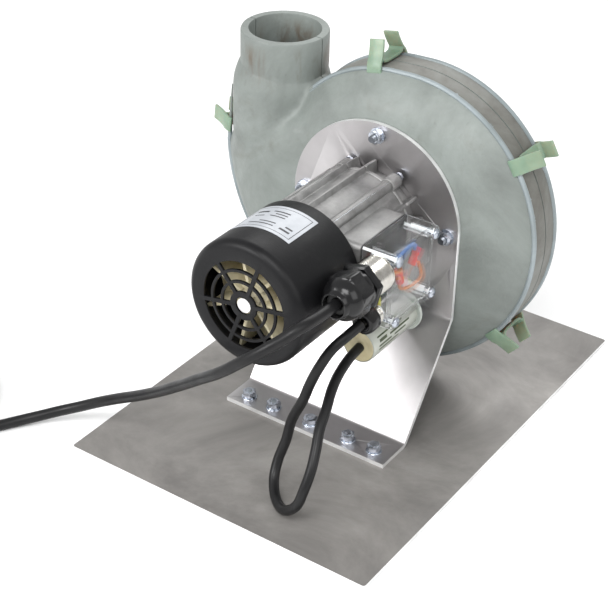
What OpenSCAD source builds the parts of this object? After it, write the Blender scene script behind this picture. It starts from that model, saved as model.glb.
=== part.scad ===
// Centrifugal blower on a base plate: induction motor, angle bracket, clipped scroll casing.
// Frame: X to the right, Y away from the motor's fan cowl, Z up, millimetres.
// The origin is the centre of the base plate's underside. The shaft runs along Y.

/* [Base and bracket] */
// Width of the base plate, across the shaft
plate_w = 190; // [180:1:230]
// Length of the base plate, along the shaft
plate_l = 270; // [262:1:320]
// Thickness of the base plate
plate_t = 2.5; // [2:0.5:4]
// Width of the angle bracket
bracket_w = 105; // [104:1:112]
// Thickness of the bracket's sheet
sheet_t = 2.5; // [2:0.5:3]
// Height of the shaft above the plate's underside
axis_z = 115; // [112:1:120]

/* [Motor] */
// Outer radius of the fan cowl
cowl_r = 35; // [34:0.5:36]
// Radius over the motor housing's ribs
rib_r = 33; // [32:0.5:33.5]
// Number of ribs round the motor housing
rib_count = 36; // [24:4:36]
// Radius of the shaft
shaft_r = 4; // [3:0.5:4]
// Number of blades on the cooling fan
fan_blades = 7; // [5:1:9]

/* [Casing] */
// Radius of the scroll's outline straight above the shaft
scroll_r = 75; // [74:0.5:78]
// How much the scroll's radius grows with each radian of turn
scroll_growth = 8.2; // [7.6:0.1:8.6]
// Wall thickness of the casing
wall_t = 2; // [1.5:0.25:2.5]
// Outer radius of the outlet pipe
outlet_r = 25.1; // [24:0.1:26]
// Inner radius of the outlet pipe
outlet_bore_r = 20.4; // [19:0.1:21]
// Inner radius of the inlet collar
inlet_bore_r = 40; // [36:1:41]
// Number of impeller blades
impeller_blades_count = 32; // [24:2:40]

/* [Hidden] */

round_fn = 96;
small_fn = 32;
gap = 0.02; // slip between a part and the one that it is pressed or screwed onto

// Bracket: foot, slope and upright, as seen from the side (y, z)
foot_front_y = -51.3;
foot_bend_y = -29.4;
upright_y = 12.56;
upper_bend_z = 64.4;
upright_back_y = upright_y + sheet_t;
foot_top_z = plate_t + sheet_t;
foot_bolt_y = -44;
foot_bolt_xs = [-42, -25, 0, 25, 42];
stud_ring_r = 46;
flange_ring_r = 22;

// Motor, along the shaft
housing_y0 = -55;
housing_y1 = 0;
housing_r = 29.5;
housing_bore_r = 26.5;
shield_r = 30;
neck_r = 25;
cowl_front_y = -107;
bearing_r = 11;
bearing_w = 7;
core_y0 = -40;
core_y1 = -12;
core_r = 15.2;
pad_x = 34;
pad_root_x = 18;
tie_ring_r = 31.2;
tie_degs = [60, 120, 240, 300];

// Terminal box
box_y0 = -54.9;
box_y1 = -11.6;
box_z0 = axis_z - 21.65;
box_z1 = axis_z + 21.65;
box_x0 = pad_x + 1;
box_x1 = 51;
cover_x1 = 53.7;
box_wall = 2;
screw_inset = 3.9;
large_gland = [45.3, 126]; // x, z of its axis
small_gland = [44.3, 100.8];

gland_y = box_y0 - 14; // back face of the large gland's flange
small_front_y = -66.9;

// Capacitor
cap_at = [27.5, 67]; // x, z of its axis
cap_r = 10;
cap_y0 = -41.5;
cap_y1 = 2;

// Casing
seam_y = 44;
seal_t = 0.8;
face_y = upright_back_y + 0.04;
rim_y = 32.5;
shoulder_y = 22;
shoulder_inset = 10;
flat_r = 60;
outlet_x = -83;
outlet_top_z = 190;
flare_low_z = 156;
flare_top_z = 166;
collar_z = 170;
outline_top_z = 163.5;
neck_x0 = -113;
neck_x1 = -57;
tongue_deg = 136;
bead_t = 1.2;
clip_w = 9;
clip_degs = [102, 30, -42, -114, -186];

// Impeller
wheel_y0 = 22;
wheel_y1 = 61;
wheel_r = 58;
blade_inner_r = 45;

// Mains cord: gland to floor, round points chosen by hand
mains_d = 6;
mains_route = [
    [45.3, -92.5, 126], [45, -107.5, 126.5], [43.2, -120.5, 126.3], [37.8, -128.7, 121.3], [30, -134, 114.5],
    [20, -136.5, 105.8], [7.5, -136, 94.6], [-8.6, -131, 81.2], [-26.9, -124.5, 65.7], [-45, -118.7, 51],
    [-62.5, -114.7, 38.4], [-79, -112.4, 28], [-93.3, -112.8, 19.6], [-105.5, -116, 13],
    [-116, -121, 8.4], [-125, -128, 5.2], [-132.4, -136.2, 3.6], [-138.7, -145.6, 3.1],
    [-145, -156, 3.1], [-151, -168, 3.1], [-154.5, -175, 3.1]
];
coil_mid = [-188.9, -157.8];
coil_outer_r = 41.5;
coil_inner_r = 23.2;
coil_h = 18.2;

// Loop cord: small gland, down in front of the bracket's foot and up to the capacitor
loop_d = 5.5;
loop_route = [
    [44.3, -67.1, 100.8], [42, -76, 97.7], [37.4, -83.5, 91], [32.6, -87.5, 80], [28.6, -89, 69],
    [25, -89.3, 58], [18.2, -88.7, 42.7], [15.4, -89.7, 28.7], [13.9, -94.6, 17.8], [16, -101, 9.7],
    [23, -109, 5.8], [33, -116, 7.5], [42, -118, 16], [44.7, -115.3, 26], [45, -109.7, 35.5],
    [43, -103, 43], [40, -95.6, 50], [37.7, -86.7, 56], [34.5, -77, 61.7], [32.4, -67.4, 65.5],
    [30.3, -55, 67.2], [29, -42.9, 67.4]
];

// ---------- helpers ----------

// A cylinder along Y, from y0 to y1, about the point at = [x, z]
module drum(y0, y1, r, at = [0, axis_z], fn = round_fn)
    translate([at.x, y0, at.y]) rotate([-90, 0, 0]) cylinder(h = y1 - y0, r = r, $fn = fn);

// A hollow cylinder along Y
module ring(y0, y1, r_out, r_in, at = [0, axis_z], fn = round_fn)
    difference() {
        drum(y0, y1, r_out, at, fn);
        drum(y0 - 1, y1 + 1, r_in, at, fn);
    }

// A solid turned about a line along Y, from an outline of [radius, y] points
module turned(outline, at = [0, axis_z], fn = round_fn)
    translate([at.x, 0, at.y]) rotate([-90, 0, 0]) rotate_extrude($fn = fn) polygon(outline);

// A plate in the XZ plane, from y0 to y1, with the outline that is given
module slab(y0, y1)
    translate([0, y1, 0]) rotate([90, 0, 0]) linear_extrude(y1 - y0) children();

// The point at an angle and radius round the shaft, as [x, z]
function around(deg, r) = [r * cos(deg), axis_z + r * sin(deg)];

// Points on an arc, as [a, b] pairs
function arc(mid, r, from, to, steps) =
    [for (i = [0 : steps]) mid + r * [cos(from + (to - from) * i / steps), sin(from + (to - from) * i / steps)]];

// Hexagon across its flats, along Y
module hex_y(y0, y1, flats, at, turn = 0)
    translate([at.x, y0, at.y]) rotate([-90, turn, 0]) cylinder(h = y1 - y0, r = flats / sqrt(3), $fn = 6);

// ---------- sweep for the cords ----------

function unit(v) = v / norm(v);
function tangent(p, i) = unit(p[min(i + 1, len(p) - 1)] - p[max(i - 1, 0)]);
function square_to(v, t) = unit(v - t * (v * t));
function normals(p) = [
    for (i = 0, n = square_to([1, 0, 0.3], tangent(p, 0)); i < len(p);
         i = i + 1, n = square_to(n, tangent(p, min(i, len(p) - 1)))) n
];
function ring_points(c, t, n, r, sides) =
    [for (k = [0 : sides - 1]) c + r * (n * cos(360 * k / sides) + cross(t, n) * sin(360 * k / sides))];

module cord_tube(p, d, sides = 10) {
    ns = normals(p);
    rings = [for (i = [0 : len(p) - 1]) each ring_points(p[i], tangent(p, i), ns[i], d / 2, sides)];
    walls = [
        for (i = [0 : len(p) - 2]) for (k = [0 : sides - 1]) each [
            [i * sides + k, (i + 1) * sides + k, i * sides + (k + 1) % sides],
            [i * sides + (k + 1) % sides, (i + 1) * sides + k, (i + 1) * sides + (k + 1) % sides]
        ]
    ];
    last = (len(p) - 1) * sides;
    ends = [[for (k = [0 : sides - 1]) k], [for (k = [sides - 1 : -1 : 0]) last + k]];
    polyhedron(points = rings, faces = concat(walls, ends));
}

// ---------- base and bracket ----------

module base_plate() color("#8d8982")
    difference() {
        translate([-plate_w / 2, -plate_l / 2, 0]) cube([plate_w, plate_l, plate_t]);
        for (x = foot_bolt_xs)
            translate([x, foot_bolt_y, -1]) cylinder(h = plate_t + 2, r = 2.1, $fn = small_fn);
    }

slope_run = [upright_y - foot_bend_y, upper_bend_z - foot_top_z];
slope_back = sheet_t * [slope_run.y, -slope_run.x] / norm(slope_run);
slope_rise = slope_run.y / slope_run.x;
back_low_y = foot_bend_y + slope_back.x + (plate_t - foot_top_z - slope_back.y) / slope_rise;
back_high_z = foot_top_z + slope_back.y + (upright_back_y - foot_bend_y - slope_back.x) * slope_rise;

module bracket_profile()
    polygon([
        [foot_front_y, plate_t], [back_low_y, plate_t], [upright_back_y, back_high_z],
        [upright_back_y, axis_z], [upright_y, axis_z], [upright_y, upper_bend_z],
        [foot_bend_y, foot_top_z], [foot_front_y, foot_top_z]
    ]);

module bracket() color("#b9bbbd")
    difference() {
        union() {
            translate([-bracket_w / 2, 0, 0]) rotate([90, 0, 90]) linear_extrude(bracket_w) bracket_profile();
            drum(upright_y, upright_back_y, bracket_w / 2);
        }
        drum(upright_y - 1, upright_back_y + 1, 15);
        for (k = [0 : 3]) {
            drum(upright_y - 1, upright_back_y + 1, 2.2, around(90 * k, stud_ring_r), small_fn);
            drum(upright_y - 1, upright_back_y + 1, 2.1, around(45 + 90 * k, flange_ring_r), small_fn);
            turned([[0, 13.1], [2, 13.1], [4.1, 15.3], [0, 15.3]], around(45 + 90 * k, flange_ring_r), small_fn);
        }
        drum(upright_y - 1, upright_back_y + 1, 3.1, cap_at, small_fn);
        for (x = foot_bolt_xs)
            translate([x, foot_bolt_y, plate_t - 1]) cylinder(h = sheet_t + 2, r = 2.2, $fn = small_fn);
    }

module foot_washers() color("#c9ccd2")
    for (x = foot_bolt_xs)
        translate([x, foot_bolt_y, foot_top_z]) difference() {
            cylinder(h = 0.8, r = 4.5, $fn = small_fn);
            translate([0, 0, -1]) cylinder(h = 3, r = 2.2, $fn = small_fn);
        }

module foot_spring_washers() color("#b4b8c0")
    for (x = foot_bolt_xs)
        translate([x, foot_bolt_y, foot_top_z + 0.8]) difference() {
            cylinder(h = 1, r = 3.6, $fn = small_fn);
            translate([0, 0, -1]) cylinder(h = 3, r = 2.2, $fn = small_fn);
            translate([0, -0.3, -1]) cube([5, 0.6, 3]);
        }

module foot_bolts() color("#c3c8d4")
    for (x = foot_bolt_xs)
        translate([x, foot_bolt_y, 0]) {
            translate([0, 0, 0.3]) cylinder(h = foot_top_z + 1.5, r = 2, $fn = small_fn);
            translate([0, 0, foot_top_z + 1.8]) cylinder(h = 2.8, r = 7 / sqrt(3), $fn = 6);
        }

// ---------- scroll casing ----------

// Radius of the scroll's outline at an angle measured from +X, top to far left
function scroll_at(deg) = scroll_r + scroll_growth * max(0, 90 - deg) * PI / 180;

// Outline of the casing's body without its pipe, grown or shrunk by d
function scroll_outline(d) = concat(
    [for (deg = [tongue_deg : -9 : -180]) around(deg, scroll_at(deg) + d)],
    [[neck_x0 - d, flare_low_z + 2], [neck_x0 + 8 - d / 2, outline_top_z + d], [neck_x1 + d, outline_top_z + d]]
);

// The scroll's own turn, and the straight duct that leaves it
function turn_outline(d) = [for (deg = [tongue_deg : -9 : -180]) around(deg, scroll_at(deg) + d)];
function duct_outline(d) = [
    [neck_x0 - d, axis_z], [neck_x0 - d, flare_low_z + 2], [neck_x0 + 8 - d / 2, outline_top_z + d],
    [neck_x1 + d, outline_top_z + d], [neck_x1 + d, axis_z]
];

module body_dome(d, y_face, y_shoulder, y_seam) {
    hull() {
        slab(rim_y, y_seam) polygon(turn_outline(d));
        slab(y_shoulder, y_shoulder + 0.1) polygon(turn_outline(d - shoulder_inset));
        slab(y_face, y_face + 0.1) translate([0, axis_z]) circle(r = flat_r + d, $fn = 48);
    }
    hull() {
        slab(rim_y, y_seam) polygon(duct_outline(d));
        slab(y_shoulder, y_shoulder + 0.1) polygon(duct_outline(d - shoulder_inset));
    }
}

// Square neck of the scroll blending into the round pipe
module neck_flare(d, pipe_r, top_z)
    hull() {
        translate([neck_x0 - d, face_y + 9 - d, flare_low_z - 1])
            cube([neck_x1 - neck_x0 - 2 + 2 * d, 2 * (seam_y - face_y - 9 + d), 1]);
        translate([outlet_x, seam_y, top_z - 1]) cylinder(h = 1, r = pipe_r, $fn = 48);
    }

module casing_half() {
    y_end = seam_y - seal_t / 2;
    difference() {
        union() {
            body_dome(0, face_y, shoulder_y, y_end);
            slab(rim_y - 0.2, rim_y + 2) polygon(scroll_outline(bead_t));
            intersection() {
                union() {
                    neck_flare(0, outlet_r - 0.02, collar_z);
                    translate([outlet_x, seam_y, collar_z])
                        cylinder(h = outlet_top_z - collar_z, r = outlet_r, $fn = round_fn);
                }
                translate([-150, 0, 130]) cube([150, y_end, 80]);
            }
        }
        body_dome(-wall_t, face_y + wall_t, shoulder_y + wall_t, y_end + 1);
        neck_flare(-wall_t, outlet_bore_r, flare_top_z + 0.5);
        translate([outlet_x, seam_y, flare_low_z])
            cylinder(h = outlet_top_z - flare_low_z + 1, r = outlet_bore_r, $fn = round_fn);
    }
}

module casing_front() color("#7f8a8c")
    difference() {
        casing_half();
        drum(face_y - 1, face_y + wall_t + 1, 8);
        for (k = [0 : 3]) drum(face_y - 1, face_y + wall_t + 1, 2.1, around(90 * k, stud_ring_r), small_fn);
    }

module casing_rear() color("#7f8a8c")
    difference() {
        translate([0, 2 * seam_y, 0]) mirror([0, 1, 0]) casing_half();
        drum(2 * seam_y - face_y - wall_t - 1, 2 * seam_y - face_y + 1, inlet_bore_r + wall_t + gap);
    }

module casing_seal() color("#3a3b3c")
    difference() {
        slab(seam_y - seal_t / 2, seam_y + seal_t / 2) polygon(scroll_outline(-0.3));
        slab(seam_y - seal_t, seam_y + seal_t) polygon(scroll_outline(-wall_t));
        translate([outlet_x, seam_y, 130]) cylinder(h = 60, r = outlet_bore_r, $fn = round_fn);
    }

back_y = 2 * seam_y - face_y;

module inlet_collar() color("#9aa0a3")
    turned([
        [inlet_bore_r, back_y - 7.5], [inlet_bore_r + wall_t, back_y - 7.5], [inlet_bore_r + wall_t, back_y],
        [inlet_bore_r + 8, back_y], [inlet_bore_r + 8, back_y + 1.5], [inlet_bore_r + wall_t, back_y + 1.5],
        [inlet_bore_r + wall_t, back_y + 9], [inlet_bore_r, back_y + 9]
    ]);

// One clip bridges the seam and hooks over the bead on each half; its two ears lean inwards
module spring_clip(deg) {
    root = scroll_at(deg) + bead_t + 0.1;
    rim_back_y = 2 * seam_y - rim_y;
    translate([0, 0, axis_z]) rotate([0, -deg, 0]) translate([root, 0, -clip_w / 2])
        linear_extrude(clip_w)
            polygon([
                [0, rim_y - 0.5], [-2.6, rim_y - 2.7], [-2.6, rim_y - 4], [0.4, rim_y - 1.9],
                [13.2, rim_y + 4.6], [13, rim_y + 6], [2, rim_y + 1.6], [1.3, rim_y + 2.2],
                [1.3, rim_back_y - 2.2], [2, rim_back_y - 1.6], [13, rim_back_y - 6],
                [13.2, rim_back_y - 4.6], [0.4, rim_back_y + 1.9], [-2.6, rim_back_y + 4],
                [-2.6, rim_back_y + 2.7], [0, rim_back_y + 0.5]
            ]);
}

module spring_clips() color("#a9c4a4")
    for (deg = clip_degs) spring_clip(deg);

module casing_studs() color("#4b4f55")
    for (k = [0 : 3]) {
        drum(5.6, face_y + wall_t, 2, around(90 * k, stud_ring_r), small_fn);
        drum(face_y + wall_t, face_y + wall_t + 1, 5, around(90 * k, stud_ring_r), small_fn);
    }

module stud_washers() color("#c9ccd2")
    for (k = [0 : 3]) ring(upright_y - 1, upright_y, 4.5, 2.2, around(90 * k, stud_ring_r), small_fn);

module stud_nuts() color("#c3c8d4")
    for (k = [0 : 3])
        difference() {
            hex_y(upright_y - 4.2, upright_y - 1, 7, around(90 * k, stud_ring_r), 12);
            drum(upright_y - 5, upright_y, 2 + gap, around(90 * k, stud_ring_r), small_fn);
        }

// ---------- motor ----------

rib_first_deg = tie_degs[0] + 180 / rib_count;

module motor_housing() color("#a4a29b")
    difference() {
        union() {
            drum(housing_y0, housing_y1, housing_r);
            for (k = [0 : rib_count - 1])
                translate([0, housing_y0, axis_z]) rotate([0, rib_first_deg + 360 * k / rib_count, 0])
                    translate([housing_r - 1, 0, -0.65]) cube([rib_r - housing_r + 1, housing_y1 - housing_y0, 1.3]);
            translate([pad_root_x, box_y0, box_z0])
                cube([pad_x - pad_root_x, box_y1 - box_y0, box_z1 - box_z0]);
        }
        translate([pad_x, box_y0 - 12, box_z0 - 12]) cube([20, 60, 60]);
        drum(housing_y0 - 1, housing_y1 + 1, housing_bore_r);
        for (deg = tie_degs) drum(housing_y0 - 1, housing_y1 + 1, 1.7, around(deg, tie_ring_r), small_fn);
        translate([pad_x - 16, -34, 111]) rotate([0, 90, 0]) cylinder(h = 18, r = 6, $fn = small_fn);
    }

module drive_end_shield() color("#a09e97")
    difference() {
        union() {
            turned([
                [0, -3], [housing_bore_r - gap, -3], [housing_bore_r - gap, housing_y1], [shield_r, housing_y1],
                [shield_r, 2.5], [neck_r, 2.5], [neck_r, upright_y], [14.9, upright_y], [14.9, 15], [0, 15]
            ]);
            for (deg = [12, 34, 90, 112, 146, 168, 190, 212, 270, 328])
                translate([0, 0, axis_z]) rotate([0, -deg, 0])
                    translate([neck_r - 1, 0, -0.8]) cube([rib_r - neck_r, upright_y - 1, 1.6]);
            for (deg = tie_degs) drum(housing_y1, 9, 4.6, around(deg, tie_ring_r - 1.2), small_fn);
        }
        drum(-4, 10, bearing_r + gap);
        drum(-5, 16, 5.5);
        drum(12.6, 16, 8 + gap);
        for (deg = tie_degs) drum(housing_y1 - 1, 13, 1.7, around(deg, tie_ring_r), small_fn);
        for (k = [0 : 3]) drum(4, 13, 1.95, around(45 + 90 * k, flange_ring_r), small_fn);
    }

module rear_end_shield() color("#a09e97")
    difference() {
        turned([
            [0, housing_y0 - 9], [14, housing_y0 - 9], [15, housing_y0 - 3], [33.4, housing_y0 - 3],
            [33.4, housing_y0], [housing_bore_r - gap, housing_y0], [housing_bore_r - gap, housing_y0 + 3],
            [0, housing_y0 + 3]
        ]);
        drum(housing_y0 - 7.5, housing_y0 + 4, bearing_r + gap);
        drum(housing_y0 - 10, housing_y0 + 4, 5.5);
        for (deg = tie_degs) drum(housing_y0 - 4, housing_y0 + 1, 1.7, around(deg, tie_ring_r), small_fn);
    }

module tie_rods() color("#b4b8c0")
    for (deg = tie_degs) {
        drum(housing_y0 - 3, 9, 1.6, around(deg, tie_ring_r), small_fn);
        drum(housing_y0 - 5, housing_y0 - 3, 2.4, around(deg, tie_ring_r - 0.6), small_fn);
        drum(9, 10.6, 2.6, around(deg, tie_ring_r), small_fn);
    }

module flange_screws() color("#b4b8c0")
    for (k = [0 : 3]) {
        drum(5, 13.1, 1.9, around(45 + 90 * k, flange_ring_r), small_fn);
        turned([[0, 13.1], [1.9, 13.1], [3.7, 15], [0, 15]], around(45 + 90 * k, flange_ring_r), small_fn);
    }

module stator_core() color("#6f7073")
    difference() {
        drum(core_y0, core_y1, housing_bore_r - gap);
        drum(core_y0 - 1, core_y1 + 1, core_r + 0.3);
        for (k = [0 : 17])
            translate([0, core_y0 - 1, axis_z]) rotate([0, 20 * k, 0])
                translate([core_r + 1.4, 0, -1.1]) cube([6, core_y1 - core_y0 + 2, 2.2]);
    }

module winding(y0, y1)
    turned([
        [17, y0 + 2], [19, y0], [23, y0], [25.4, y0 + 2], [25.4, y1 - 2], [23, y1], [19, y1], [17, y1 - 2]
    ]);

module front_winding() color("#a5552a") winding(core_y1, -3.4);
module rear_winding() color("#a5552a") winding(-51, core_y0);

module rotor_core() color("#85878a") ring(core_y0, core_y1, core_r, shaft_r + gap);

module rotor_shaft() color("#d4d6d8") drum(cowl_front_y + 0.6, 42, shaft_r);

module bearing(y0) ring(y0, y0 + bearing_w, bearing_r, shaft_r + 0.05);

module front_bearing() color("#c8cacc") bearing(3);
module rear_bearing() color("#c8cacc") bearing(housing_y0 - 7.4);
module shaft_seal() color("#222222") ring(12.65, 14.95, 8, shaft_r + 0.1);

module cooling_fan() color("#e6dcc0")
    difference() {
        union() {
            drum(-98, -84, 9);
            drum(-86, -84, 30);
            for (k = [0 : fan_blades - 1])
                translate([0, -101, axis_z]) rotate([0, 360 * k / fan_blades, 0])
                    translate([7, 0, -1]) cube([24, 16, 2]);
        }
        drum(-110, -80, shaft_r + gap);
    }

// Slots of the cowl's grille: inner and outer radius of each ring
grille_rings = [[8, 12.5], [14, 18.5], [20, 24.5]];

module fan_cowl() color("#1f2021") {
    skin = 1.2;
    edge_r = 5;
    difference() {
        turned(concat(
            [[0, cowl_front_y]],
            arc([cowl_r - edge_r, cowl_front_y + edge_r], edge_r, -90, 0, 8),
            [[cowl_r, housing_y0], [cowl_r - skin, housing_y0]],
            arc([cowl_r - edge_r, cowl_front_y + edge_r], edge_r - skin, 0, -90, 8),
            [[0, cowl_front_y + skin]]
        ));
        drum(cowl_front_y - 1, cowl_front_y + 3, shaft_r + 0.75);
        for (r = grille_rings)
            difference() {
                ring(cowl_front_y - 1, cowl_front_y + 3, r[1], r[0]);
                for (k = [0 : 2])
                    translate([0, cowl_front_y - 2, axis_z]) rotate([0, 60 * k + 10, 0])
                        translate([-30, 0, -1.1]) cube([60, 8, 2.2]);
            }
        for (deg = [160, 230, 300])
            translate([0, housing_y0 - 1.5, axis_z]) rotate([0, 90 - deg, 0])
                translate([0, 0, 30]) cylinder(h = 8, r = 1.1, $fn = small_fn);
    }
}

module cowl_screws() color("#b4b8c0")
    for (deg = [160, 230, 300])
        translate([0, housing_y0 - 1.5, axis_z]) rotate([0, 90 - deg, 0]) {
            translate([0, 0, cowl_r - 1.5]) cylinder(h = 1.5, r = 1, $fn = small_fn);
            translate([0, 0, cowl_r]) cylinder(h = 1.2, r = 2.2, $fn = small_fn);
        }

module rating_label() color("#e8e8e4")
    intersection() {
        ring(-89, -63.6, cowl_r + 0.25, cowl_r + gap);
        translate([0, -92, axis_z]) rotate([0, -96.5, 0]) translate([20, 0, -17.8]) cube([30, 32, 35.6]);
    }

// ---------- terminal box and glands ----------

module box_gasket() color("#161616")
    difference() {
        translate([pad_x, box_y0, box_z0]) cube([1, box_y1 - box_y0, box_z1 - box_z0]);
        translate([pad_x - 1, -34, 111]) rotate([0, 90, 0]) cylinder(h = 3, r = 6, $fn = small_fn);
    }

screw_ys = [box_y0 + screw_inset, box_y1 - screw_inset];
screw_zs = [box_z0 + screw_inset, box_z1 - screw_inset];

module terminal_box() color("#dfe6ea")
    difference() {
        union() {
            difference() {
                translate([box_x0, box_y0, box_z0]) cube([box_x1 - box_x0, box_y1 - box_y0, box_z1 - box_z0]);
                translate([box_x0 + box_wall, box_y0 + box_wall, box_z0 + box_wall])
                    cube([40, box_y1 - box_y0 - 2 * box_wall, box_z1 - box_z0 - 2 * box_wall]);
            }
            for (y = screw_ys) for (z = screw_zs)
                translate([box_x0, y, z]) rotate([0, 90, 0]) cylinder(h = box_x1 - box_x0, r = 3.2, $fn = small_fn);
        }
        for (y = screw_ys) for (z = screw_zs)
            translate([box_x0 + 5, y, z]) rotate([0, 90, 0]) cylinder(h = 20, r = 1.55, $fn = small_fn);
        drum(box_y0 - 1, box_y0 + 2.5, 5.65, large_gland, small_fn);
        drum(box_y0 - 1, box_y0 + 2.5, 4.55, small_gland, small_fn);
        translate([box_x0 - 1, -34, 111]) rotate([0, 90, 0]) cylinder(h = 4, r = 6, $fn = small_fn);
    }

module box_cover() color("#e6edf0")
    difference() {
        union() {
            translate([box_x1, box_y0, box_z0]) cube([cover_x1 - box_x1, box_y1 - box_y0, box_z1 - box_z0]);
            for (y = screw_ys) for (z = screw_zs)
                translate([cover_x1, y, z]) rotate([0, 90, 0]) cylinder(h = 0.6, r = 3.8, $fn = small_fn);
        }
        for (y = screw_ys) for (z = screw_zs)
            translate([box_x1 - 1, y, z]) rotate([0, 90, 0]) cylinder(h = 6, r = 1.7, $fn = small_fn);
    }

module cover_screws() color("#c9ccd2")
    for (y = screw_ys) for (z = screw_zs)
        translate([box_x0 + 8, y, z]) rotate([0, 90, 0]) {
            cylinder(h = cover_x1 + 0.6 - box_x0 - 8, r = 1.5, $fn = small_fn);
            translate([0, 0, cover_x1 + 0.6 - box_x0 - 8]) cylinder(h = 1.7, r = 2.9, $fn = small_fn);
        }

// Crimp sleeves lie in the box: centre [x, y, z] and tilt from the vertical
sleeve_places = [[40.5, -42, 121, 50], [44, -32, 112, 15], [46.5, -22, 120, -35]];

module crimp_sleeves() color("#c0281e")
    for (s = sleeve_places)
        translate([s[0], s[1], s[2]]) rotate([s[3], 0, 0]) translate([0, 0, -5]) cylinder(h = 10, r = 2.1, $fn = small_fn);

// A short stiff wire: a rod from a to b
module rod(a, b, r)
    translate(a) rotate([0, acos((b - a).z / norm(b - a)), atan2((b - a).y, (b - a).x)])
        cylinder(h = norm(b - a), r = r, $fn = 12);

module inner_wires() color("#2f55b5") {
    rod([43, -52, 127.5], [42, -42.5, 126], 1);
    rod([43, -52, 123.5], [47.5, -38, 128], 1);
    rod([39.6, -51, 107.5], [39.6, -40, 111.5], 1);
    rod([40, -20, 103], [42, -29.8, 108.8], 1);
    rod([48.2, -17, 125.6], [48.2, -31, 129.5], 1);
}

module large_nipple() color("#c7c3b2")
    difference() {
        union() {
            drum(box_y0 - 1, box_y0 + 2.1, 5.6, large_gland, 64);
            turned(concat(
                [[0, box_y0], [9.6, box_y0]],
                [for (k = [0 : 8]) each [[9.2, box_y0 - 0.3 - 1.5 * k], [10, box_y0 - 1.05 - 1.5 * k]]],
                [[9.2, gland_y], [0, gland_y]]
            ), large_gland, 64);
        }
        drum(box_y0 - 20, box_y0 + 6, 5, large_gland, 64);
    }

module gland_body() color("#141414")
    difference() {
        union() {
            hex_y(gland_y - 4.5, gland_y, 22, large_gland, 16);
            drum(gland_y - 17, gland_y - 4.5, 8.4, large_gland, 64);
        }
        drum(gland_y - 20, gland_y + 1, 6.25, large_gland, 64);
    }

module gland_nut() color("#141414")
    difference() {
        union() {
            hex_y(gland_y - 17, gland_y - 7.5, 22, large_gland, 18);
            turned(concat(
                [[0, gland_y - 26.5], [7.3, gland_y - 26.5]],
                arc([3.1, gland_y - 17], 8.2, -58, 0, 6),
                [[11.3, gland_y - 15], [0, gland_y - 15]]
            ), large_gland, 64);
            drum(gland_y - 7.5, gland_y - 5.5, 10.8, large_gland, 64);
        }
        drum(gland_y - 17, gland_y, 8.4 + gap, large_gland, 64);
        drum(gland_y - 30, gland_y - 16, 6.25, large_gland, 64);
    }

module gland_seal() color("#262626") ring(gland_y - 22.9, gland_y - 3, 6.2, 2.6, large_gland, 64);

module small_nipple() color("#c7c3b2")
    difference() {
        union() {
            drum(box_y0, box_y0 + 2.1, 4.5, small_gland, 48);
            drum(box_y0 - 3.6, box_y0, 5.6, small_gland, 48);
        }
        drum(small_front_y - 1, box_y0 + 6, 2.9, small_gland, 48);
    }

module small_gland_nut() color("#141414")
    difference() {
        turned([
            [0, box_y0 - 3.6], [6.2, box_y0 - 3.6], [6.75, box_y0 - 4.4],
            [6.75, small_front_y + 1.8], [5.6, small_front_y], [0, small_front_y]
        ], small_gland, 48);
        drum(small_front_y - 1, box_y0, 2.6, small_gland, 48);
    }

// ---------- capacitor ----------

module capacitor_can() color("#c9cbca") drum(cap_y0 + 1, cap_y1 - 1, cap_r - 0.7, cap_at);

module capacitor_sleeve() color("#e4e6da")
    ring(cap_y0, cap_y1, cap_r, cap_r - 0.7 + gap, cap_at);

module capacitor_resin() color("#eadfbb") drum(cap_y0 - 0.2, cap_y0 + 1, cap_r - 0.8, cap_at);

module capacitor_disc() color("#d9dccb") ring(cap_y1, cap_y1 + 2, 12, 3.05, cap_at);

module capacitor_stud() color("#b4b8c0") drum(cap_y1 - 1, upright_back_y, 3, cap_at, small_fn);

module capacitor_nut() color("#c3c8d4")
    difference() {
        hex_y(upright_y - 7.4, upright_y - 2.7, 10, cap_at, 8);
        drum(0, 20, 3 + gap, cap_at, small_fn);
    }

// ---------- impeller ----------

module impeller_back_plate() color("#8e9296")
    difference() {
        drum(wheel_y0, wheel_y0 + 1.5, wheel_r);
        drum(wheel_y0 - 1, wheel_y0 + 3, 9 + gap);
    }

module impeller_hub() color("#a3a7ab")
    difference() {
        union() {
            drum(wheel_y0 - 2, 40, 9);
            drum(wheel_y0 + 1.5, wheel_y0 + 4, 16);
        }
        drum(wheel_y0 - 3, 41, shaft_r + gap);
        translate([0, 34, axis_z]) cylinder(h = 12, r = 1.5 + gap, $fn = small_fn);
    }

module hub_screw() color("#4b4f55")
    translate([0, 34, axis_z + shaft_r + gap]) cylinder(h = 5.5, r = 1.5, $fn = small_fn);

// One blade leans forward: a thin slat set at an angle to the radius
module impeller_blades() color("#989ca0")
    for (k = [0 : impeller_blades_count - 1])
        translate([0, 0, axis_z]) rotate([0, 360 * k / impeller_blades_count, 0])
            translate([blade_inner_r + 1, wheel_y0 + 1.5, 0]) rotate([0, 35, 0])
                translate([0, 0, -0.4]) cube([12.5, wheel_y1 - wheel_y0 - 3, 0.8]);

module impeller_shroud() color("#8e9296") ring(wheel_y1 - 1.5, wheel_y1, wheel_r, blade_inner_r);

// ---------- cords ----------

module mains_cord() color("#101010") cord_tube(mains_route, mains_d);

module loop_cord() color("#101010") cord_tube(loop_route, loop_d);

module mains_coil() color("#101010")
    translate([coil_mid.x, coil_mid.y, 0]) rotate_extrude($fn = 64)
        translate([coil_inner_r, 0.1]) square([coil_outer_r - coil_inner_r, coil_h]);

// ---------- assembly ----------

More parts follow.
